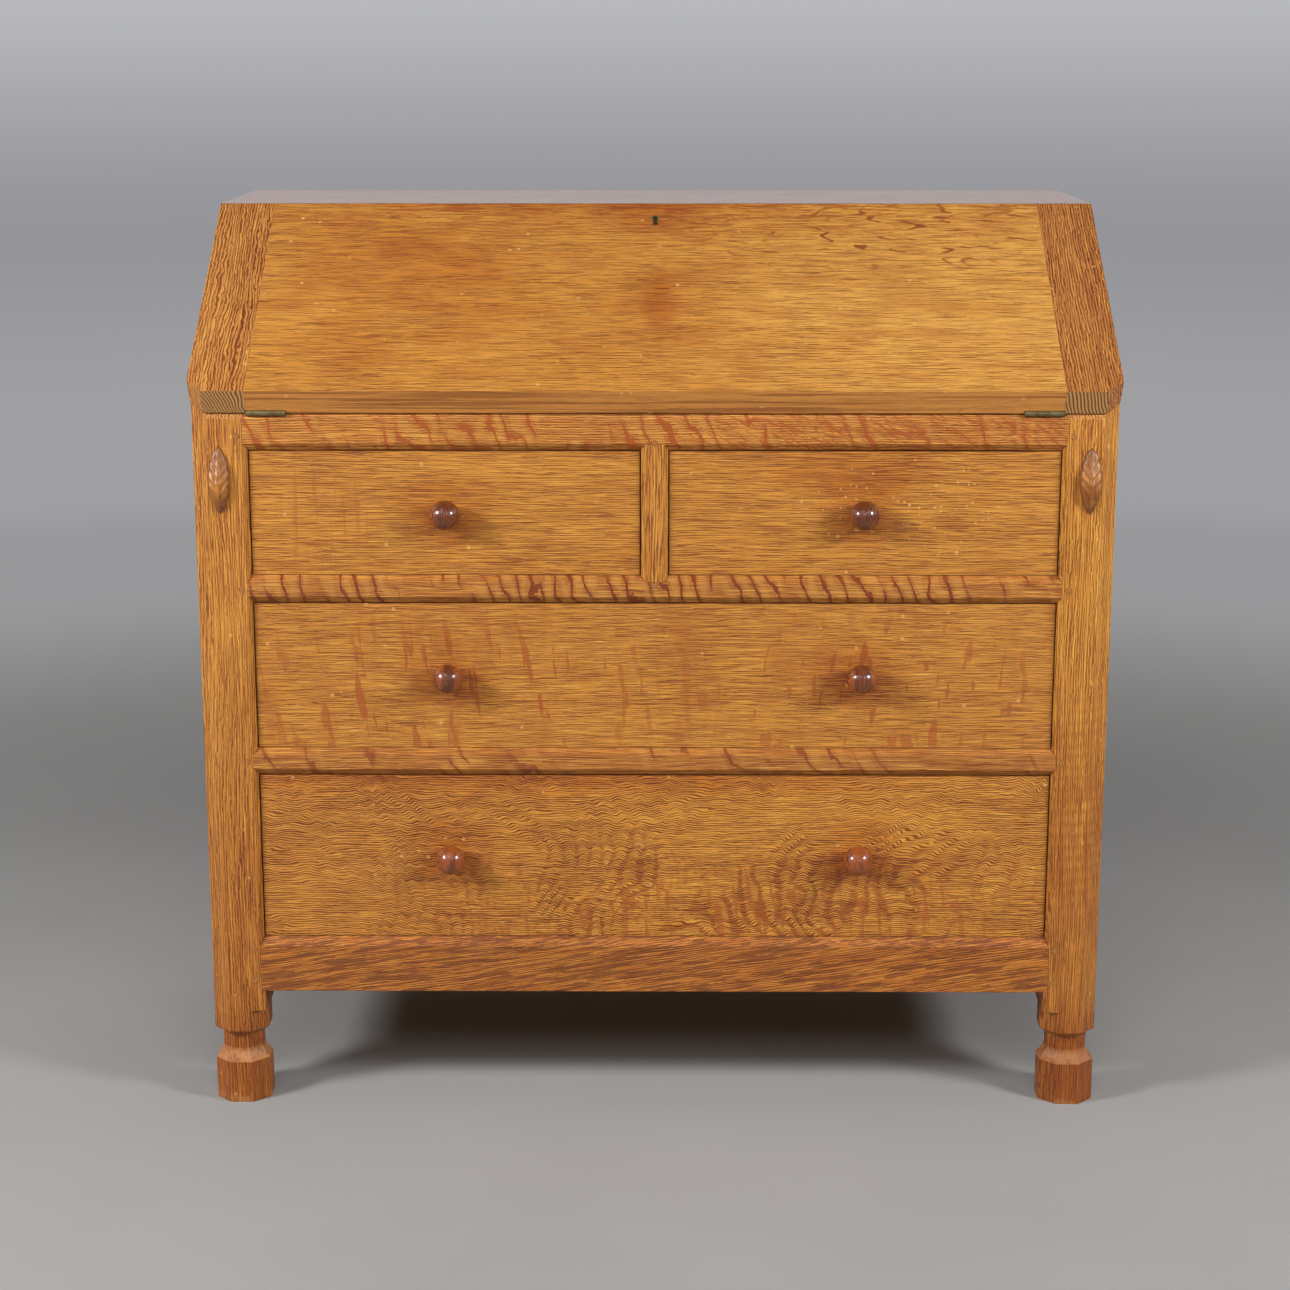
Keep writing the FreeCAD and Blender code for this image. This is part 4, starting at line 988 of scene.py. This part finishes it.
# Each drawer's knob node, its front's own marks, and what its oak has of its own
DRAWERS = {
    "top_left_drawer": (
        "top_left_drawer_knob",
        [drips((-0.33, 0.61, 0.07, 0.09), SOFT_RAY, 0.5)],
        {},
    ),
    "top_right_drawer": (
        "top_right_drawer_knob",
        [
            stain_and_shade((0.19, 0.665, 0.12, 0.03), RED_TINT, 0.8),
            specks(1.0, seed=2.0, pitch=190.0, rarity=0.68, place=(0.25, 0.635, 0.12, 0.065)),
        ],
        {},
    ),
    "middle_drawer": (
        "middle_drawer_knobs",
        [
            ray_flecks((105, 20), 0.12, (0.61, 0.65), RED_STAIN, 0.75, 5.0, (-0.2, 0.44, 0.3, 0.1)),
            ray_flecks((95, 22), -0.1, (0.61, 0.65), RED_STAIN, 0.75, 8.0, (0.23, 0.44, 0.26, 0.1)),
            ray_flecks((30, 12), 0.1, (0.50, 0.72), SOFT_RAY, 0.35, 2.0),
        ],
        dict(pitch=460.0, shiver=0.7),
    ),
    "bottom_drawer": (
        "bottom_drawer_knobs",
        [
            figure(FIGURE_TINT, 0.9, (0.08, 0.20, 0.46, 0.13)),
            ray_flecks((130, 26), 0.1, (0.56, 0.62), RED_STAIN, 0.6, 3.0, (0.1, 0.20, 0.4, 0.08)),
            stain_and_shade((-0.1, 0.3532, 0.5, 0.03), RED_TINT, 0.9),
            stain_and_shade((-0.30, 0.27, 0.26, 0.20), DULL_TINT, 1.0),
        ],
        dict(
            pale=tone(230, 158, 57),
            body=tone(206, 133, 43),
            line=tone(114, 54, 14),
            pitch=420.0,
            rings=0.18,
            shiver=0.45,
            dash=45.0,
            line_low=0.47,
            line_high=0.62,
            waver=0.0014,
            waver_pitch=52.0,
            waver_swirl=6.5,
        ),
    ),
}


def knob_places(knobs):
    """The x and z of the knobs in a node: one in its middle, or one at each end of its box."""
    low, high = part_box(knobs)
    z = (low.z + high.z) / 2
    radius = (high.z - low.z) / 2
    if knobs.endswith("_knob"):
        return [((low.x + high.x) / 2, z)]
    return [(low.x + radius, z), (high.x - radius, z)]


def dress_drawers():
    wood = knob_wood()
    sides = drawer_box_oak("drawer_side_oak", SIDE_ALONG_Y, 0.4)
    flats = drawer_box_oak("drawer_bottom_oak", FLAT_ALONG_X, 1.4)
    backs = drawer_box_oak("drawer_back_oak", FACE_ALONG_X, 2.4)
    for number, (drawer, (knobs, marks, changes)) in enumerate(DRAWERS.items()):
        low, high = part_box(drawer + "_front")
        shift = 1.7 * number + 0.3
        places = knob_places(knobs)
        name = drawer + "_front_oak"
        dress([drawer + "_front"], drawer_front_oak(name, shift, low, high, places, marks, changes))
        dress([drawer + "_sides"], sides)
        dress([drawer + "_bottom"], flats)
        dress([drawer + "_back"], backs)
        dress([knobs], wood)


def dress_metal():
    hinges = ["hinge_rail_leaves", "hinge_pins", "hinge_fall_leaves"]
    screws = ["rail_leaf_screws", "fall_leaf_screws"]
    dress([*hinges, "lock_strike", "keyhole_lining", *screws], old_brass())
    dress(["lock_case", "lock_bolt"], lock_steel())


# The carved leaves, in the place of their plain solids

LEAF_WIDTH = 0.023
LEAF_FIT = 0.98


def add_leaves():
    """A leaf in each end of the box that the plain leaves fill, kept just inside it."""
    low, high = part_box("leaf_ornaments")
    proud = (high.y - low.y) * LEAF_FIT
    half_width = LEAF_WIDTH / 2 * LEAF_FIT
    material = leaf_oak()
    for name, edge in (("leaf_drop_left", low.x), ("leaf_drop_right", high.x - LEAF_WIDTH)):
        middle = edge + LEAF_WIDTH / 2
        leaf = carved_leaf(name, middle, low.z, high.z, high.y, proud, half_width, material)
        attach(leaf, "carcase")
        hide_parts("leaf_ornaments")


# Studio

NEAR_FLOOR = (tone(163, 162, 161), tone(168, 167, 166))
# Greys that the paper glows in past the near floor: painted light and shade on the floor and wall.
SEEN_FLOOR = tone(131, 130, 129)
SEEN_FAR_FLOOR = tone(152, 152, 154)
SEEN_BEND = tone(160, 160, 163)
SEEN_LOW_WALL = tone(148, 148, 152)
SEEN_HIGH_WALL = tone(194, 195, 200)

LAMP_AIM = (0, -0.2, 0.45)
# Each lamp's name, place, size, watts, and whether reflections show it
LAMPS = (
    ("left_softbox", (-2.03, -1.37, 1.60), (0.5, 0.5), 49, True),
    ("right_softbox", (2.03, -1.37, 1.60), (0.5, 0.5), 40, True),
    ("front_softbox", (0, -3.1, 2.55), (2.4, 1.4), 37, False),
    ("back_softbox", (0, 2.6, 2.6), (2.4, 1.6), 13, False),
)
AIR_COLOUR = (0.92, 0.96, 1.0, 1.0)
AIR_STRENGTH = 0.15

FILM_WIDTH, LENS = 36.0, 72.36
EYE = (0.00793, -2.75325, 1.0800)
EYE_DOWN, EYE_LEFT = 13.146, 0.394


def studio_paper():
    """Grey paper, in bands of distance from the bureau and of height up the wall.

    Past the near floor it glows in these greys to the camera and in reflections, and adds no light:
    a painted light and shade, darkest on the floor near the bureau and brightest high on the wall.
    """
    finish = Finish("studio_paper")
    x, y, z = finish.along(X), finish.along(Y), finish.along(Z)
    far = finish.maths("SQRT", x * x + y * y)
    near_floor = finish.mix(finish.step(finish.cloud(1.6), 0.3, 0.7), *NEAR_FLOOR)
    painted_light_glow = finish.mix(finish.step(far, 1.6, 2.6), SEEN_FLOOR, SEEN_FAR_FLOOR)
    bend = finish.step(far, 3.1, 3.7) * (1 - finish.step(z, 0.3, 1.5))
    painted_light_glow = finish.mix(bend, painted_light_glow, SEEN_BEND)
    painted_light_glow = finish.mix(finish.step(z, 0.10, 0.6), painted_light_glow, SEEN_LOW_WALL)
    painted_light_glow = finish.mix(finish.step(z, 0.5, 1.5), painted_light_glow, SEEN_HIGH_WALL)
    camera_ray = finish.node("LightPath", output="Is Camera Ray")
    mirror_ray = finish.node("LightPath", output="Is Glossy Ray")
    share = finish.step(far, 0.9, 2.0) * finish.maths("MINIMUM", camera_ray + mirror_ray, 1.0)
    paper = finish.node("BsdfDiffuse", None, {"Color": near_floor})
    glow = finish.node("Emission", None, {"Color": painted_light_glow, "Strength": 1.0})
    shader = finish.node("MixShader", None, {0: share, 1: paper, 2: glow})
    finish.node("OutputMaterial", None, {"Surface": shader})
    return finish.material


def studio_sweep():
    """A floor that curves up into a round wall: a profile of radius and height turned about Z."""
    turns, floor_radius, bend, wall_height = 96, 3.4, 1.6, 5.0
    flat_radii = [0.0001, 0.5, 1.5, 2.5]
    angles = np.linspace(0, np.pi / 2, 24)
    bend_radii, bend_heights = floor_radius + bend * np.sin(angles), bend * (1 - np.cos(angles))
    radii = np.concatenate([flat_radii, bend_radii, [floor_radius + bend]])[:, None]
    heights = np.concatenate([np.zeros(len(flat_radii)), bend_heights, [wall_height]])[:, None]
    a = np.linspace(0, 2 * np.pi, turns, endpoint=False)[None, :]
    points = np.stack([radii * np.cos(a), radii * np.sin(a), heights + 0 * a], -1)
    faces = grid_faces(len(radii), turns)[:, ::-1]
    mesh_piece("studio_sweep", points, faces, studio_paper())


def softbox(name, place, size, power, mirrored):
    light = bpy.data.lights.new(name, "AREA")
    light.shape = "RECTANGLE"
    light.size, light.size_y = size
    light.energy = power
    lamp = bpy.data.objects.new(name, light)
    lamp.location = place
    lamp.rotation_euler = (Vector(LAMP_AIM) - Vector(place)).to_track_quat("-Z", "Y").to_euler()
    lamp.visible_glossy = mirrored
    bpy.context.scene.collection.objects.link(lamp)


def studio_lights():
    for lamp in LAMPS:
        softbox(*lamp)
    world = bpy.data.worlds.new("studio_air")
    bpy.context.scene.world = world
    world.use_nodes = True
    ground = world.node_tree.nodes["Background"]
    ground.inputs["Color"].default_value = AIR_COLOUR
    ground.inputs["Strength"].default_value = AIR_STRENGTH


def studio_camera():
    """The camera's place, tilt and lens, from the bureau's edges in the photo."""
    data = bpy.data.cameras.new("camera")
    data.sensor_width = FILM_WIDTH
    data.lens = LENS
    camera = bpy.data.objects.new("camera", data)
    camera.location = EYE
    camera.rotation_euler = (math.radians(90 - EYE_DOWN), 0.0, math.radians(EYE_LEFT))
    bpy.context.scene.collection.objects.link(camera)
    bpy.context.scene.camera = camera


dress_carcase()
dress_fall()
dress_drawers()
dress_metal()
add_leaves()
studio_sweep()
studio_lights()
studio_camera()
bpy.context.scene.view_settings.view_transform = "Standard"

bpy.context.view_layer.update()
